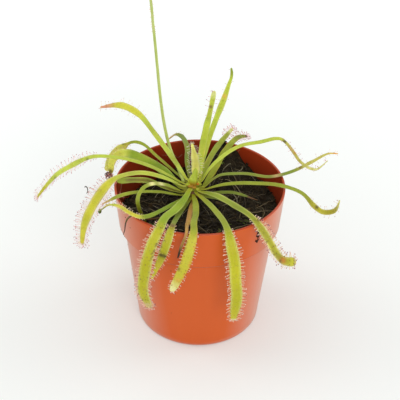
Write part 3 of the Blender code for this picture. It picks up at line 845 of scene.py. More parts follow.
def build_pale_roots():
    """The few pale strands that stand out from the peat."""
    shape = Shape()
    rng = seeded("roots")
    for x, y, heading, length, lift, half in PALE_ROOTS:
        path = fibre_path(rng, x * MM, y * MM, length * MM, heading, 0.8, lift * MM)
        points, faces = tube(path, half * MM * np.linspace(1, 0.5, len(path)), 6)
        shape.add(points, faces, colour=linear(PALE_ROOT_COLOUR))
    shape.build("pale_roots", [FIBRE])


def build_moss():
    """Small olive sprigs of moss among the peat."""
    rng = seeded("moss")
    shape = Shape()
    share = np.linspace(0, 1, 6)
    for x, y, count, spread in MOSS_TUFTS:
        for _ in range(count):
            px = (x + rng.normal(0, spread)) * MM
            py = (y + rng.normal(0, spread * 0.5)) * MM
            heading = rng.uniform(0, TURN)
            length = rng.uniform(*MOSS_LENGTHS) * MM
            start = np.array([px, py, surface_height(px, py)])
            lean = around(1.0, heading, rng.uniform(0.3, 1.0))
            steps = share[:, None]
            path = start + unit(lean) * length * steps - UP * length * 0.35 * steps**2
            radius = rng.uniform(*MOSS_RADII) * MM
            points, faces = tube(path, radius * np.sqrt(1.02 - share), 4)
            shape.add(points, faces, colour=linear(MOSS_COLOUR) * rng.uniform(0.5, 1.3))
    shape.build("moss_sprigs", [FIBRE])


# ---- leaves ----------------------------------------------------------------------------------

LEAF_STATIONS = 150
LEAF_TOP_POINTS = 9
LEAF_UNDER_POINTS = 7
LEAF_THICKNESS = 0.78 * MM
FOOT_INWARD = 0.30  # how near the crown's middle a leaf starts, as a share of the CAD leaf's distance
FOOT_DROP = 0.5 * MM
SPECK_SIZES = (0.25, 0.5)
PETIOLE_EDGE = 0.35  # how much of the pale edge the petiole has: there a painted highlight along its edges, on the blade the margin's own pale colour
UNDER_SHADE = 0.86

# What each leaf looks like: where its blade starts (share of its length), the length of its edge
# hairs in mm, how many hairs (1 is full) and how thick, petiole, blade and tip colours, where the tip
# colour starts, the kind of hairs, the share of dark glands at the edge and on the face, how full the
# face's hairs are, how far the edges curl up, colours along the middle and the edges with their
# strength, the colour at its foot, spots as (share, side, size in mm, colour), and specks as (from,
# to, side, how many, colour). Side runs from -1 to 1 across the blade.
LEAF_DEFAULTS = dict(
    blade=0.55, hair=3.0, full=1.0, thick=0.6, colours="petiole lime yellow", tip=0.88, hairs="live",
    dark=0.12, dots=0.05, face=0.6, cup=0.10, middle=("lime", 0.15), edge=("cream", 0.45), foot="core",
    spots=(), specks=(),
)
LEAF_LOOKS = {
    "leaf_far_left": dict(
        blade=0.52, hair=3.2, full=0.9, colours="bright green lime", dark=0.25, hairs="hazy",
        spots=((0.80, 0.8, 1.0, "olive"), (0.56, 0.7, 0.9, "olive")),
    ),
    "leaf_tall_left": dict(
        blade=0.64, hair=2.6, full=0.4, colours="bright sunny blush", tip=0.90, cup=0.22, edge=("cream", 0.5),
    ),
    "leaf_back_loop": dict(
        blade=0.58, hair=2.0, full=0.35, colours="petiole sunlit sunlit", tip=0.97, dark=0.05,
        spots=((0.62, -0.9, 1.2, "olive"),),
    ),
    "leaf_back_wide": dict(
        blade=0.62, hair=2.0, full=0.5, colours="fresh sunlit sunlit", cup=0.2,
        spots=((0.97, 0.0, 1.6, "brown"),),
    ),
    "leaf_left_arch": dict(
        blade=0.48, hair=3.8, full=1.5, colours="bright sunny yellow", dark=0.3, edge=("cream", 0.8),
        hairs="hazy", thick=0.66,
    ),
    "leaf_left_folded": dict(
        blade=0.95, full=0.0, colours="petiole petiole petiole", cup=0.5, middle=("brown", 0.75),
        edge=("pale", 0.8),
    ),
    "leaf_left_hooked": dict(
        blade=0.92, full=0.0, colours="petiole petiole petiole", cup=0.3,
        # the two cream spots are a painted highlight on the hook's fold
        spots=((0.34, 0.0, 2.2, "cream"), (0.46, 0.2, 2.2, "cream")),
    ),
    "leaf_left_low": dict(
        blade=0.78, hair=2.4, full=0.5, colours="petiole petiole pinkish", tip=0.90, hairs="rosy",
    ),
    "leaf_left_spent": dict(
        blade=0.60, hair=1.6, full=0.8, colours="fresh yellow olive", tip=0.95, hairs="worn",
        spots=((0.86, 0.0, 2.0, "green"),),
    ),
    "leaf_left_dried": dict(
        blade=0.9, full=0.0, colours="brown dark dark", tip=0.8, edge=("brown", 0.3), middle=("dark", 0.3),
        foot="brown",
    ),
    "leaf_front_left": dict(
        blade=0.48, hair=2.4, thick=1.0, colours="fresh lime rosy", tip=0.97, dark=0.10, dots=0.35,
        face=1.0, edge=("cream", 0.55), specks=((0.48, 0.66, 0.85, 16, "brown"),),
    ),
    "leaf_front_left_inner": dict(
        blade=0.58, hair=1.8, full=0.6, thick=1.0, colours="shade lime yellow", tip=0.82,
        spots=((0.78, -0.3, 1.5, "dark"), (0.775, 0.7, 1.4, "dark"), (0.56, 0.0, 2.4, "brown")),
        specks=((0.60, 0.80, -0.8, 8, "brown"),),
    ),
    "leaf_front_old": dict(
        blade=0.78, full=0.0, colours="tan brown dark", tip=0.9, edge=("blush", 0.5), middle=("gold", 0.4),
        foot="brown",
    ),
    "leaf_front_centre": dict(
        blade=0.60, hair=1.5, full=0.6, thick=0.9, colours="petiole yellow cream", tip=0.93, dots=0.25,
        edge=("gold", 0.7), spots=((0.83, -0.8, 0.9, "brown"), (0.90, 0.2, 1.4, "gold")),
        specks=((0.56, 0.82, -0.9, 18, "brown"), (0.60, 0.92, 0.95, 26, "orange")),
    ),
    "leaf_front_right": dict(blade=0.51, hair=2.4, thick=1.0, tip=0.95, dark=0.05, edge=("cream", 0.5)),
    "leaf_right_front": dict(
        blade=0.61, hair=2.6, full=1.4, thick=1.0, colours="petiole mustard sunny", tip=0.95, dark=0.4,
        dots=0.3, face=1.0, middle=("olive", 0.3), edge=("cream", 0.9),
        spots=((0.915, 0.0, 1.7, "orange"), (0.905, -0.6, 0.8, "brown"), (0.62, 0.9, 1.0, "brown")),
        specks=((0.60, 0.90, -0.85, 14, "brown"),),
    ),
    "leaf_right_under": dict(blade=0.95, full=0.0, colours="shade shade brown", tip=0.9),
    "leaf_right_short": dict(blade=0.92, full=0.0, colours="shade olive brown", tip=0.80),
    "leaf_right_curled": dict(
        blade=0.72, hair=2.2, full=0.35, colours="petiole mustard pale", tip=0.94, dark=0.3,
        spots=((0.79, 0.3, 1.0, "dark"),),
    ),
    "leaf_right_upper": dict(
        blade=0.68, hair=2.0, full=0.2, colours="shade khaki gold", tip=0.93,
        spots=((0.69, 0.2, 0.9, "brown"), (0.53, 0.0, 2.4, "pinkish"), (0.97, 0.0, 1.4, "orange")),
    ),
    "leaf_back_right_arch": dict(
        blade=0.64, hair=2.0, full=0.3, colours="bright khaki pale", tip=0.84, hairs="rosy",
        spots=((0.65, 0.0, 1.2, "dark"), (0.71, 0.0, 1.8, "pinkish"), (0.74, 0.6, 0.7, "rust")),
    ),
    "leaf_upright_short": dict(
        blade=0.72, hair=2.4, full=0.3, colours="green green pale", tip=0.93, hairs="rosy", dark=0.3,
        spots=((0.82, 0.1, 1.0, "brown"),),
    ),
    "leaf_upright_tall": dict(
        hair=1.6, full=0.15, colours="green green petiole", tip=0.92, cup=0.3, edge=("cream", 0.6),
        spots=((0.75, 0.2, 1.4, "gold"),),
    ),
    "leaf_centre_young": dict(
        blade=0.12, hair=2.4, full=1.1, thick=0.5, colours="green light light", tip=0.90, hairs="young",
        face=0.0, cup=0.42, edge=("cream", 0.9), middle=("yellow", 0.4),
    ),
    "leaf_back_low": dict(
        blade=0.80, hair=1.6, full=0.3, colours="shade olive pinkish", tip=0.90, edge=("pale", 0.4),
    ),
    "leaf_back_right_low": dict(
        blade=0.78, hair=2.8, colours="petiole petiole pale", tip=0.9, hairs="rosy", dark=0.2,
    ),
    "leaf_back_right_dark": dict(
        blade=0.76, hair=2.8, colours="petiole olive dark", tip=0.95, hairs="rosy", dark=0.2,
        edge=("gold", 0.4),
    ),
}


class Leaf:
    """One leaf's smooth lines, read from its CAD node, and its look."""

    def __init__(self, name):
        self.name = name
        self.look = {**LEAF_DEFAULTS, **LEAF_LOOKS[name]}
        rng = seeded(name)
        self.share = np.linspace(0, 1, LEAF_STATIONS)
        self.read_lines()
        loose = smoothstep(0.05, 0.3, self.share)
        self.halves = self.halves * (1 + wander(rng, LEAF_STATIONS, 9, 0.035) * loose)
        self.path = self.path + self.ups * (wander(rng, LEAF_STATIONS, 12, 0.10 * MM) * loose)[:, None]
        self.blade = smoothstep(self.look["blade"] - 0.05, self.look["blade"] + 0.06, self.share)
        self.light = 1 + wander(rng, LEAF_STATIONS, 14, 0.06)
        self.warmth = np.clip(wander(rng, LEAF_STATIONS, 18, 0.16), 0.0, 0.4)
        self.patch = np.clip(wander(rng, LEAF_STATIONS, 10, 0.20) - 0.05, 0.0, 0.4)
        self.spots = list(self.look["spots"])
        for first, end, side, count, colour in self.look["specks"]:
            for _ in range(count):
                place = rng.uniform(first, end)
                self.spots.append((place, rng.normal(side, 0.12), rng.uniform(*SPECK_SIZES), colour))
        self.round_off()

    def read_lines(self):
        """The middle line from inside the crown to the tip, and the directions and widths along it."""
        middles, sides, halves = strip_lines(self.name)
        if sides[0] @ np.cross(UP, middles[1] - middles[0]) < 0:
            sides = -sides
        foot = CROWN + (middles[0] - CROWN) * FOOT_INWARD
        foot[2] = middles[0][2] - FOOT_DROP
        self.path = spline(np.concatenate([foot[None], middles]), LEAF_STATIONS)
        self.halves = spline(np.concatenate([halves[:1] * 0.8, halves]), LEAF_STATIONS)
        self.length = np.linalg.norm(np.diff(self.path, axis=0), axis=1).sum()
        self.tangents = unit(np.gradient(self.path, axis=0))
        side = spline(np.concatenate([sides[:1], sides]), LEAF_STATIONS)
        self.sides = unit(side - self.tangents * np.sum(side * self.tangents, axis=1)[:, None])
        self.ups = np.cross(self.tangents, self.sides)

    def round_off(self):
        """Closes the blade's tip in a quarter ellipse."""
        last = self.halves[int(LEAF_STATIONS * 0.95)]
        away = (1 - self.share) * self.length
        reach = max(last * 1.4, 0.7 * MM)
        curve = np.sqrt(np.clip(1 - (1 - np.clip(away / reach, 0, 1)) ** 2, 0, 1))
        full = np.maximum(self.halves, last * 0.8)
        self.halves = np.where(away < reach, full * np.maximum(curve, 0.06), self.halves)

    def cup(self, across, index):
        """How far the blade's middle surface stands above its middle line."""
        amount = 0.32 * (1 - self.blade[index]) + self.look["cup"] * self.blade[index]
        return amount * self.halves[index] * (across**2 - 0.33)

    def thickness(self, across, index):
        full = min(LEAF_THICKNESS, self.halves[index] * 1.1)
        return full * (1 - 0.70 * abs(across) ** 2.4)

    def raised(self, across, index, rise):
        return self.path[index] + self.sides[index] * self.halves[index] * across + self.ups[index] * rise

    def top(self, across, index):
        return self.raised(across, index, self.cup(across, index) + 0.5 * self.thickness(across, index))

    def under(self, across, index):
        keel = 0.30 * LEAF_THICKNESS * math.exp(-((across / 0.3) ** 2)) * (1 - 0.5 * self.blade[index])
        rise = self.cup(across, index) - 0.5 * self.thickness(across, index)
        return self.raised(across, index, rise - keel * min(1.0, self.halves[index] / (1.0 * MM)))

    def colour(self, across, index, above):
        petiole, blade, tip = (linear(c) for c in self.look["colours"].split())
        share = self.share[index]
        made = blend(petiole, blade, self.blade[index])
        made = blend(made, linear("gold"), self.warmth[index] * abs(across))
        made = blend(made, linear("shade"), self.patch[index] * (1 - self.blade[index]))
        made = blend(made, linear(self.look["foot"]), (1 - smoothstep(0.03, 0.14, share)) * 0.8)
        middle, strength = self.look["middle"]
        made = blend(made, linear(middle), math.exp(-((across / 0.42) ** 2)) * strength)
        # pale edges: the blade margin's own colour, and on the petiole a painted highlight
        edge, strength = self.look["edge"]
        strength *= PETIOLE_EDGE + (1 - PETIOLE_EDGE) * self.blade[index]
        made = blend(made, linear(edge), smoothstep(0.55, 1.0, abs(across)) * strength)
        made = blend(made, tip, smoothstep(self.look["tip"] - 0.05, self.look["tip"] + 0.05, share))
        for place, side, size, colour in self.spots:
            away = ((share - place) * self.length) ** 2 + ((across - side) * self.halves[index]) ** 2
            made = blend(made, linear(colour), math.exp(-away / (size * MM) ** 2) * 0.9)
        return made * self.light[index] * (1.0 if above else UNDER_SHADE)


def build_leaf(leaf):
    """The leaf's blade and petiole as one closed strip."""
    round_it = [(across, True) for across in np.linspace(-1, 1, LEAF_TOP_POINTS)]
    round_it += [(across, False) for across in np.linspace(1, -1, LEAF_UNDER_POINTS + 2)[1:-1]]
    rings = []
    colours = []
    places = []
    for index in range(LEAF_STATIONS):
        rings.append([(leaf.top if above else leaf.under)(across, index) for across, above in round_it])
        colours += [leaf.colour(across, index, above) for across, above in round_it]
        along = leaf.share[index] * leaf.length / MM
        places += [(across * leaf.halves[index] / MM, along) for across, _ in round_it]
    start = leaf.path[0] - leaf.tangents[0] * 0.2 * MM
    end = leaf.path[-1] + leaf.tangents[-1] * 0.1 * MM
    points, faces = loft(rings, start, end, flipped=True)
    shape = Shape()
    shape.add(points, faces, colour=with_ends(colours), places=with_ends(places))
    shape.build(leaf.name[5:] + "_leaf", [LEAF_TISSUE], replaces=[leaf.name])


# ---- sticky hairs ----------------------------------------------------------------------------

HAIR_RADIUS = 0.17 * MM
HAIR_TAPER = (1.0, 0.72, 0.58)  # of the hair's radius, at its root, its middle and under its gland
HAIR_SIDES = 4
SHORTEST_HAIR = 0.7 * MM
NOT_ALONG_HAIRS = (0.31, 0.17, 0.93)
GLAND_RADIUS = 0.25 * MM
GLAND_TAPER = (1.0, 0.85)
GLAND_LENGTH = 0.50 * MM
DEW_RADIUS = 0.32 * MM
DEW_STRETCH = 1.2
DEW_SIDES = 6
FEWEST_DROPS = 5
ROOT_SUNK = 0.08 * MM
EDGE_STEP = 0.95 * MM
FACE_STEP = 2.2 * MM
FACE_LANES = (-0.55, 0.0, 0.55)
TIP_HAIRS = 9
HAIR_KINDS = {
    # tissues of a hair's lower and upper part, its gland and a dark gland, and how many carry a drop
    "live": (("hair_pale", "hair_pink", "gland_rose", "gland_dark"), 0.35),
    "rosy": (("hair_rose", "hair_red", "gland_red", "gland_dark"), 0.2),
    "hazy": (("hair_pink", "hair_rose", "gland_red", "gland_dark"), 0.3),
    "young": (("hair_white", "hair_white", "hair_pink", "gland_rose"), 0.4),
    "worn": (("hair_pale", "hair_pale", "hair_pink", "hair_dead"), 0.0),
}
FACE_TISSUES = ("face_hair", "face_gland", "face_dot")
HAIR_GROUPS = (
    # whether on the face, whether dark, and which tissue each part takes
    (False, False, (0, 1, 2, 2)), (False, True, (0, 1, 3, 3)),
    (True, False, (4, 4, 5, 5)), (True, True, (4, 4, 6, 6)),
)


def edge_rows(leaf, rng, start, long):
    """The long hairs that stand out along both edges of the blade."""
    blade_length = (1 - start) * leaf.length
    step = EDGE_STEP / leaf.look["full"]
    rows = []
    for sign in (-1, 1):
        for k in range(int(blade_length / step)):
            share = start + (1 - start) * (k + rng.uniform(0.1, 0.9)) * step / blade_length
            index = min(int(share * LEAF_STATIONS), LEAF_STATIONS - 2)
            across = sign * rng.uniform(0.88, 0.98)
            lean = (sign * 1.0, rng.uniform(0.02, 0.62), rng.normal(-0.06, 0.16))
            near = 0.5 + 0.5 * smoothstep(start, start + 0.12, share)
            rows.append((index, across, lean, long * near * rng.uniform(0.62, 1.08)))
    return rows


def face_rows(leaf, rng, start, long):
    """The short hairs over the blade's face, longer toward its edges."""
    if leaf.look["face"] <= 0:
        return []
    blade_length = (1 - start) * leaf.length
    step = FACE_STEP / leaf.look["face"]
    rows = []
    for k in range(int(blade_length / step)):
        share = start + (1 - start) * (k + rng.uniform(0.0, 1.0)) * step / blade_length
        index = min(int(share * LEAF_STATIONS), LEAF_STATIONS - 3)
        for lane in FACE_LANES:
            across = lane + rng.uniform(-0.14, 0.14)
            lean = (across * 1.1 + rng.normal(0, 0.12), 1.0, rng.normal(0, 0.15))
            length = long * (0.22 + 0.30 * abs(across)) * rng.uniform(0.7, 1.2)
            rows.append((index, across, lean, length))
    return rows


def tip_rows(leaf, rng, long):
    """The fan of hairs at the blade's tip."""
    rows = []
    for k in range(int(TIP_HAIRS * min(leaf.look["full"], 1.0))):
        angle = math.pi * (k + 0.5) / TIP_HAIRS
        lean = (math.cos(angle), 0.5, math.sin(angle) * 1.1)
        rows.append((LEAF_STATIONS - 3, math.cos(angle) * 0.6, lean, long * rng.uniform(0.5, 0.85)))
    return rows


def along_hair(roots, directions, bends, lengths, steps):
    share = steps / lengths[:, None]
    straight = roots[:, None] + directions[:, None] * steps[..., None]
    return straight + bends[:, None] * (share**2 * lengths[:, None])[..., None]


def circles_across(directions, sides):
    """A circle of unit steps across each direction."""
    first = unit(np.cross(directions, NOT_ALONG_HAIRS))
    second = np.cross(directions, first)
    angles = circle_angles(sides)[:, None]
    return first[:, None] * np.cos(angles) + second[:, None] * np.sin(angles)


def repeated(faces, count, stride):
    """The same faces for each of count shapes, of stride points each."""
    return (faces[None] + (np.arange(count) * stride)[:, None, None]).reshape(-1, faces.shape[1])


def hair_shapes(roots, directions, bends, lengths, slots, thick):
    """All of a leaf's hairs at once: a tapering stalk that swells into a gland at its end."""
    count = len(roots)
    stem = np.maximum(lengths - GLAND_LENGTH, 0.2 * MM)
    steps = np.stack([
        np.zeros(count), stem * 0.5, stem, stem + GLAND_LENGTH * 0.35, stem + GLAND_LENGTH * 0.75,
    ], axis=1)
    radii = [share * HAIR_RADIUS * thick for share in HAIR_TAPER]
    radii += [share * GLAND_RADIUS * thick for share in GLAND_TAPER]
    centres = along_hair(roots, directions, bends, lengths, steps)
    circle = circles_across(directions, HAIR_SIDES)[:, None]
    rings = centres[:, :, None] + circle * np.array(radii)[:, None, None]
    tips = along_hair(roots, directions, bends, lengths, (stem + GLAND_LENGTH)[:, None])
    starts = roots[:, None] - directions[:, None] * 0.1 * MM
    points = np.concatenate([rings.reshape(count, -1, 3), starts, tips], axis=1)
    stride = points.shape[1]
    bands = ring_faces(len(radii), HAIR_SIDES).reshape(-1, HAIR_SIDES, 4)
    caps = both_caps(len(radii), HAIR_SIDES)
    groups = [(repeated(band, count, stride), slot) for band, slot in zip(bands, slots)]
    groups.append((repeated(caps[:HAIR_SIDES], count, stride), slots[0]))
    groups.append((repeated(caps[HAIR_SIDES:], count, stride), slots[-1]))
    return points, groups


def dew_shapes(centres, directions, sizes):
    """Clear drops round the glands: small upright ellipsoids."""
    count = len(centres)
    circle = circles_across(directions, DEW_SIDES)
    rings = []
    for angle in np.linspace(0, math.pi, 6)[1:-1]:
        middle = centres - directions * (math.cos(angle) * DEW_STRETCH * sizes)[:, None]
        rings.append(middle[:, None] + circle * (math.sin(angle) * sizes)[:, None, None])
    half = directions * (DEW_STRETCH * sizes)[:, None]
    ends = [(centres - half)[:, None], (centres + half)[:, None]]
    points = np.concatenate([np.stack(rings, axis=1).reshape(count, -1, 3), *ends], axis=1)
    stride = points.shape[1]
    body = ring_faces(len(rings), DEW_SIDES)
    caps = both_caps(len(rings), DEW_SIDES)
    return points, [(repeated(body, count, stride), 0), (repeated(caps, count, stride), 0)]


def hair_lines(leaf, rng):
    """The hairs with room to grow: roots, directions, bends, lengths, which are dark and which on the
    face."""
    others = cad_tree(*[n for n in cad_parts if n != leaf.name and not n.startswith("flower_bud")])
    start = leaf.look["blade"] - 0.02
    long = leaf.look["hair"] * MM
    edges = edge_rows(leaf, rng, start, long) + tip_rows(leaf, rng, long)
    hairs = []
    for number, (index, across, lean, length) in enumerate(edges + face_rows(leaf, rng, start, long)):
        side, up, tangent = leaf.sides[index], leaf.ups[index], leaf.tangents[index]
        direction = unit(side * lean[0] + up * lean[1] + tangent * lean[2])
        root = leaf.top(across, index) - up * ROOT_SUNK
        if others.ray_cast(Vector(root + direction * 0.5 * MM), Vector(direction), length)[0] is not None:
            continue
        bend = up * rng.uniform(0.05, 0.28) + side * rng.normal(0, 0.08) + tangent * rng.normal(0, 0.08)
        on_face = number >= len(edges)
        dark = rng.random() < leaf.look["dots" if on_face else "dark"]
        hairs.append((root, direction, bend, max(length, SHORTEST_HAIR), dark, on_face))
    return [np.array(values) for values in zip(*hairs)]


def build_hairs(leaf):
    """The leaf's hairs with their glands, and the drops on some of them."""
    if leaf.look["full"] <= 0:
        return
    rng = seeded(leaf.name + "_hairs")
    roots, directions, bends, lengths, dark, face = hair_lines(leaf, rng)
    tissues, dewy = HAIR_KINDS[leaf.look["hairs"]]
    thick = leaf.look["thick"]
    shape = Shape()
    for on_face, is_dark, slots in HAIR_GROUPS:
        k = (face == on_face) & (dark == is_dark)
        if k.any():
            shape.add(*hair_shapes(roots[k], directions[k], bends[k], lengths[k], slots, thick))
    label = leaf.name[5:]
    shape.build(label + "_hairs", [TISSUES[t] for t in tissues + FACE_TISSUES])
    wet = (rng.random(len(roots)) < dewy) & ~face
    if wet.sum() < FEWEST_DROPS:
        return
    at = (lengths - GLAND_LENGTH * 0.45)[:, None]
    centres = along_hair(roots, directions, bends, lengths, at)[:, 0]
    sizes = DEW_RADIUS * thick * rng.uniform(0.75, 1.2, wet.sum())
    drops = Shape()
    drops.add(*dew_shapes(centres[wet], directions[wet], sizes))
    drops.build(label + "_dew", [DEW])


# ---- what the leaves hold --------------------------------------------------------------------

WITHERED_LEAF = "leaf_left_spent"
WITHERED_SIZE = (1.0, 1.0, 1.3)  # mm
CURL_LEAF = "leaf_left_arch"
CURL_PLACE = 0.58  # share of the leaf's length
CURL_AWAY = 9.0 * MM
CURL_RADIUS = 0.9 * MM
CURL_STRETCH = 2.4
CURL_TURNS = (0.9, 4.6)
CURL_STEPS = 20
CURL_THICKNESS = 0.32 * MM
THREAD_THICKNESS = 0.06 * MM
THREAD_ENDS = (2, 17)  # places along the curl
CLOSED_LEAF = "leaf_back_wide"
CLOSED_HAIRS = 15
CLOSED_SIZE = (1.7, 1.5, 0.8)  # mm across, along and up
CLOSED_STEPS = 12
CLOSED_CENTRE = (214, 168, 142)
CLOSED_COLOURS = ((104, 66, 62), (132, 88, 84), (84, 56, 52), (150, 104, 104))


def build_caught_curl(leaf):
    """A thin dark curl of dead root, held by the hairs on the outside of the left arch."""
    middle = leaf.path[int(CURL_PLACE * (LEAF_STATIONS - 1))]
    outward = unit(middle * np.array([1.0, 1.0, 0.0]))
    path = []
    for turn in np.linspace(*CURL_TURNS, CURL_STEPS):
        out = CURL_AWAY + CURL_RADIUS * math.cos(turn)
        path.append(middle + outward * out + UP * CURL_STRETCH * CURL_RADIUS * math.sin(turn))
    points, faces = tube(path, CURL_THICKNESS * np.linspace(1, 0.6, CURL_STEPS), 5)
    shape = Shape()
    shape.add(points, faces, colour=linear("dark"))
    for end in THREAD_ENDS:
        away = path[end] - middle
        sag = UP * 0.3 * MM
        thread = spline([middle, middle + away * 0.5 - sag, path[end]], 8)
        shape.add(*tube(thread, THREAD_THICKNESS, 4), colour=linear("pinkish"))
    shape.build("caught_curl", [FIBRE])


def build_withered_end(leaf):
    """The dark bulb that the spent leaf's blade has shrunk to."""
    shape = Shape()
    shape.add(leaf.path[-1] + BALL * WITHERED_SIZE * MM, BALL_FACES, colour=linear("shade") * 0.5)
    shape.build("withered_end", [STEM_TISSUE])


def build_closed_tip(leaf):
    """The end of one leaf, closed on its catch: a ring of thick dark hairs curled over a pale middle."""
    rng = seeded("closed_tip")
    shape = Shape()
    side, up, tangent = leaf.sides[-1], leaf.ups[-4], leaf.tangents[-4]
    middle = leaf.path[-1] + tangent * 0.6 * MM + up * 0.4 * MM
    squashed = sum(axis * BALL[:, k:k + 1] * CLOSED_SIZE[k] for k, axis in enumerate((side, tangent, up)))
    shape.add(middle + squashed * MM, BALL_FACES, colour=linear(CLOSED_CENTRE))
    for k in range(CLOSED_HAIRS):
        angle = TURN * (k + rng.uniform(-0.2, 0.2)) / CLOSED_HAIRS
        out = side * math.cos(angle) + tangent * math.sin(angle)
        turns = np.linspace(0, rng.uniform(2.9, 4.0), CLOSED_STEPS)[:, None]
        bend = rng.uniform(1.0, 1.45) * MM
        start = middle + out * 1.0 * MM + up * rng.uniform(-0.4, 0.3) * MM
        path = start + out * np.sin(turns) * bend + up * (1 - np.cos(turns)) * bend
        thick = rng.uniform(0.20, 0.27) * MM
        points, faces = tube(path, thick * np.linspace(1, 0.8, CLOSED_STEPS), 6)
        shape.add(points, faces, colour=linear(CLOSED_COLOURS[k % len(CLOSED_COLOURS)]))
    shape.build("back_wide_closed_tip", [STEM_TISSUE])


# ---- crown, stalk and buds -------------------------------------------------------------------

CROWN_SUNK = 2.4 * MM
CROWN_RADIUS = 3.7 * MM
CROWN_SIDES = 48
CROWN_RINGS = 40
CROWN_AXIS = np.array([CROWN[0], CROWN[1], 0.0])
CROWN_BROWN = (0.30, 0.60)  # shares of the crown's height over which dark turns brown
CROWN_CORE = (0.50, 0.70)  # and brown turns olive
CROWN_SCALES = (
    # x, y, z from the crown's middle, half width and half height in mm, and colour
    (2.4, -0.9, 2.2, 0.8, 0.6, "rust"), (-1.6, -2.0, 1.6, 1.6, 0.7, "amber"),
    (0.4, -2.6, 1.2, 1.4, 0.6, "amber"), (-2.8, -1.0, 1.9, 1.3, 0.9, "leafy"),
    (2.6, 0.8, 1.8, 1.2, 1.0, "leafy"), (-2.0, 0.8, 2.4, 1.2, 1.6, "leafy"),
    (2.2, -3.0, 0.4, 1.3, 0.8, "core"), (-1.6, -3.4, 0.0, 1.4, 0.9, "core"),
    (3.4, 1.4, 0.4, 1.2, 0.9, "core"), (-3.2, 0.6, 0.4, 1.4, 1.0, "core"),
    (0.0, -3.4, -2.0, 1.6, 1.1, "brown"),
)
HEART_LEAF = "leaf_centre_young"
HEART_RADII = (2.3, 2.2, 2.0, 1.8, 1.65, 1.5, 1.3, 1.0, 0.6)  # mm, from the crown up along the leaf's foot
HEART_DEPTH = 3.0 * MM
HEART_STEPS = 40
HEART_SIDES = 28
HEART_GREEN = (0.8, 3.8)  # mm above its foot, where the amber passes into green
STALK_FULLNESS = 1.15  # the CAD's faceted stalk lies just inside the round one
STALK_SIDES = 12
STALK_STEPS = 320
STALK_KNOTS = 22
STALK_LOW = (198, 212, 112)
STALK_HIGH = (216, 228, 154)
STALK_HAIRS = 420
STALK_HAIR_LENGTHS = (0.6, 0.95)  # mm
STALK_HAIR_THICK = 0.5
BUD_SIDES = 7  # of the CAD bud
BUD_RINGS = 26
BUD_SEGMENTS = 30
BUD_GREEN = (132, 150, 74)
BUD_PINK = (206, 120, 150)
BUD_STALK = (150, 166, 84)
BUD_STALK_RADIUS = 0.32 * MM


def add_heart(shape):
    """The green column of folded leaf bases that the youngest leaf stands on."""
    middles, _, _ = strip_lines(HEART_LEAF)
    foot = middles[0] - UP * HEART_DEPTH
    path = spline(np.concatenate([foot[None], middles[: len(HEART_RADII) - 1]]), HEART_STEPS)
    radii = spline(np.array(HEART_RADII) * MM, HEART_STEPS)
    points, faces = tube(path, radii, HEART_SIDES)
    angles = np.arctan2(points[:, 1] - CROWN[1], points[:, 0] - CROWN[0])
    ridges = 1 + 0.07 * np.sin(5 * angles) + 0.03 * np.sin(13 * angles)
    ridged = CROWN_AXIS + (points - CROWN_AXIS) * ridges[:, None]
    points = np.where([True, True, False], ridged, points)
    rise = smoothstep(*HEART_GREEN, (points[:, 2] - path[0][2]) / MM)[:, None]
    shape.add(points, faces, colour=blend(linear("amber"), linear("green"), rise))


def build_crown():
    """A knobby short stem with the scaly bases of old leaves, dark below and olive-orange on top."""
    low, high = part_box("crown")
    top = high.z - CROWN_SUNK
    rings = []
    colours = []
    for ring in range(CROWN_RINGS):
        share = (ring + 0.5) / CROWN_RINGS
        height = low.z + (top - low.z) * share
        bulge = 0.70 + 0.30 * math.sin(math.pi * min(1.0, share * 1.15) ** 1.4)
        cap = math.sqrt(max(0.0, 1 - max(0.0, (share - 0.62) / 0.38) ** 2))
        tone = blend(linear("dark"), linear("brown"), smoothstep(*CROWN_BROWN, share))
        row = []
        for angle in circle_angles(CROWN_SIDES):
            ridge = 1 + 0.12 * math.sin(7 * angle + share * 6) + 0.06 * math.sin(15 * angle - share * 9)
            row.append(CROWN_AXIS + around(CROWN_RADIUS * bulge * cap * ridge, angle, height))
            olive = smoothstep(*CROWN_CORE, share) * (0.8 + 0.2 * math.sin(5 * angle))
            colours.append(blend(tone, linear("core"), olive))
        rings.append(row)
    shape = Shape()
    shape.add(*loft(rings, CROWN_AXIS + UP * low.z, CROWN_AXIS + UP * top), colour=with_ends(colours))
    for x, y, z, wide, tall, colour in CROWN_SCALES:
        lump = BALL * np.array([wide, wide * 0.8, tall]) * MM
        shape.add(lump + CROWN + np.array([x, y, z]) * MM, BALL_FACES, colour=linear(colour))
    add_heart(shape)
    shape.build("crown_stem", [STEM_TISSUE], replaces=["crown"])


def build_stalk():
    """The smooth round flower stalk, a little ridged, with short hairs toward its tip."""
    middles, _, halves = strip_lines("flower_stalk")
    path = spline(evenly(middles, STALK_KNOTS), STALK_STEPS)
    radii = np.linspace(halves[0], halves[-1], STALK_STEPS) * STALK_FULLNESS
    foot = np.array([path[0] - unit(path[1] - path[0]) * 2.0 * MM])
    path = np.concatenate([foot, path])
    radii = np.concatenate([radii[:1], radii])
    shape = Shape()
    points, faces = tube(path, radii, STALK_SIDES)
    share = loft_rows(np.linspace(0, 1, len(path)), STALK_SIDES)[:, None]
    shape.add(points, faces, colour=blend(linear(STALK_LOW), linear(STALK_HIGH), share))
    shape.build("stalk", [STEM_TISSUE], replaces=["flower_stalk"])
    build_stalk_hairs(path, radii)
    return path


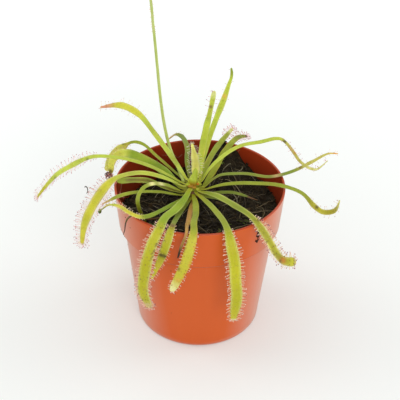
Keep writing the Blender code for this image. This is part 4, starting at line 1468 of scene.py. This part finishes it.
def build_stalk_hairs(path, radii):
    """Short hairs on the stalk, closer together toward its tip."""
    rng = seeded("stalk_hairs")
    _, across, out = carried_frames(path)
    roots, directions, lengths = [], [], []
    for _ in range(STALK_HAIRS):
        index = int(len(path) * (1 - rng.random() ** 1.6 * 0.5)) - 1
        angle = rng.uniform(0, TURN)
        direction = across[index] * math.cos(angle) + out[index] * math.sin(angle)
        roots.append(path[index] + direction * radii[index] * 0.9)
        directions.append(direction)
        lengths.append(rng.uniform(*STALK_HAIR_LENGTHS) * MM)
    roots, directions, lengths = np.array(roots), np.array(directions), np.array(lengths)
    shape = Shape()
    shape.add(*hair_shapes(roots, directions, directions * 0.0, lengths, (0, 1, 2, 2), STALK_HAIR_THICK))
    materials = [TISSUES[name] for name in ("hair_pale", "hair_pink", "gland_rose")]
    shape.build("stalk_hairs", materials)


def build_bud(name, stalk_path):
    """A closed bud: five ridged sepals round a pointed pink tip, on a short stalk."""
    low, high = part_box(name)
    middle = np.array((low + high) / 2)
    nearest = stalk_path[np.argmin(np.linalg.norm(stalk_path - middle, axis=1))]
    cad = cad_rings(name, BUD_SIDES, nearest)
    centres = spline([r.mean(axis=0) for r in cad], BUD_RINGS)
    radii = spline([np.linalg.norm(r - r.mean(axis=0), axis=1).mean() for r in cad], BUD_RINGS)
    tangents, across, out = carried_frames(centres)
    rings = []
    colours = []
    for k, centre in enumerate(centres):
        share = k / (BUD_RINGS - 1)
        row = []
        for angle in circle_angles(BUD_SEGMENTS):
            fold = abs(math.cos(2.5 * angle))
            away = across[k] * math.cos(angle) + out[k] * math.sin(angle)
            row.append(centre + away * radii[k] * (1 + 0.10 * fold * math.sin(math.pi * share)))
            green = linear(BUD_GREEN) * (0.72 + 0.4 * fold)
            colours.append(blend(green, linear(BUD_PINK), smoothstep(0.72, 0.95, share)))
        rings.append(row)
    start, end = centres[0] - tangents[0] * 0.1 * MM, centres[-1] + tangents[-1] * 0.15 * MM
    points, faces = loft(rings, start, end)
    shape = Shape()
    shape.add(points, faces, colour=with_ends(colours))
    shape.add(*tube(np.linspace(nearest, centres[1], 6), BUD_STALK_RADIUS, 8), colour=linear(BUD_STALK))
    shape.build(name + "_sepals", [STEM_TISSUE], replaces=[name])


# ---- stage -----------------------------------------------------------------------------------

CAMERA_TARGET = (0.2 * MM, 0.0, 73.95 * MM)
CAMERA_DISTANCE = 532 * MM
CAMERA_ELEVATION = 34.8
CAMERA_ROLL = 0.95
CAMERA_LENS = 90.0
SENSOR_WIDTH = 36.0
NEAREST_SEEN = 0.01
SKY_LIGHT = 0.52
FLOOR_COLOUR = (215, 219, 216)
FLOOR_HALF = 4.0
FLOOR_GLOW_NEAR = 0.19
FLOOR_GLOW_FAR = 0.46
FLOOR_FAR = 0.45  # metres from the pot
LAMP_TARGET = (0.0, 0.0, 0.08)
LAMPS = (
    # name, place, size and power
    ("softbox_top", (-0.20, 0.10, 1.3), 1.2, 2.6),
    ("softbox_front", (0.3, -1.4, 0.8), 1.2, 11.0),
    ("softbox_left", (-1.2, 0.3, 0.5), 0.9, 5.0),
    ("softbox_right", (1.2, 0.3, 0.5), 0.9, 5.0),
)


def build_floor():
    """A white table that keeps the pot's shadow, and shows nearly white to the camera."""
    mesh = bpy.data.meshes.new("floor")
    corners = [(x * FLOOR_HALF, y * FLOOR_HALF, 0) for x, y in ((-1, -1), (1, -1), (1, 1), (-1, 1))]
    mesh.from_pydata(corners, [], [(0, 1, 2, 3)])
    floor = linked("floor", mesh)
    material, tree, shader = new_material("white_table", 0.9, FLOOR_COLOUR, Specular_IOR_Level=0.0)
    seen = node(tree, "LightPath").outputs["Is Camera Ray"]
    place = node(tree, "TexCoord").outputs["Object"]
    reach = node(tree, "VectorMath", {0: place}, operation="LENGTH").outputs["Value"]
    glow = ramp(tree, reach, 0.0, FLOOR_FAR, FLOOR_GLOW_NEAR, FLOOR_GLOW_FAR)
    shader.inputs["Emission Color"].default_value = WHITE
    tree.links.new(computed(tree, "MULTIPLY", seen, glow), shader.inputs["Emission Strength"])
    mesh.materials.append(material)


def build_world():
    """An even grey sky as light, that shows white behind the pot and in its reflections."""
    world = bpy.data.worlds.new("studio")
    world.use_nodes = True
    tree = world.node_tree
    background = tree.nodes["Background"]
    background.inputs["Color"].default_value = WHITE
    rays = node(tree, "LightPath").outputs
    direct = computed(tree, "MAXIMUM", rays["Is Camera Ray"], rays["Is Transmission Ray"])
    white = computed(tree, "MAXIMUM", direct, rays["Is Glossy Ray"])
    tree.links.new(ramp(tree, white, 0.0, 1.0, SKY_LIGHT, 1.0), background.inputs["Strength"])
    bpy.context.scene.world = world


def add_light(name, place, size, power):
    light = bpy.data.lights.new(name, "AREA")
    light.shape = "DISK"
    light.size = size
    light.energy = power
    lamp = linked(name, light)
    lamp.location = place
    lamp.rotation_euler = (Vector(LAMP_TARGET) - Vector(place)).to_track_quat("-Z", "Y").to_euler()


def build_camera():
    elevation = math.radians(CAMERA_ELEVATION)
    roll = math.radians(CAMERA_ROLL)
    forward = Vector((0.0, math.cos(elevation), -math.sin(elevation)))
    right = Vector((1.0, 0.0, 0.0))
    upward = right.cross(forward)
    across = right * math.cos(roll) + upward * math.sin(roll)
    over = upward * math.cos(roll) - right * math.sin(roll)
    data = bpy.data.cameras.new("camera")
    data.lens = CAMERA_LENS
    data.sensor_width = SENSOR_WIDTH
    data.clip_start = NEAREST_SEEN
    camera = linked("camera", data)
    place = Vector(CAMERA_TARGET) - forward * CAMERA_DISTANCE
    axes = Matrix((across, over, -forward)).transposed().to_4x4()
    camera.matrix_world = Matrix.Translation(place) @ axes
    bpy.context.scene.camera = camera


EXTRAS = {CLOSED_LEAF: build_closed_tip, CURL_LEAF: build_caught_curl, WITHERED_LEAF: build_withered_end}

build_camera()
build_world()
build_floor()
for lamp in LAMPS:
    add_light(*lamp)
build_pot()
build_soil()
build_crumbs()
build_fibres()
build_pale_roots()
build_moss()
build_collar_smear()
build_wall_roots()
build_crown()
for leaf_name in sorted(LEAF_LOOKS):
    one_leaf = Leaf(leaf_name)
    build_leaf(one_leaf)
    build_hairs(one_leaf)
    if leaf_name in EXTRAS:
        EXTRAS[leaf_name](one_leaf)
stalk_line = build_stalk()
for bud_name in sorted(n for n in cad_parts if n.startswith("flower_bud")):
    build_bud(bud_name, stalk_line)

bpy.context.scene.view_settings.view_transform = "Standard"
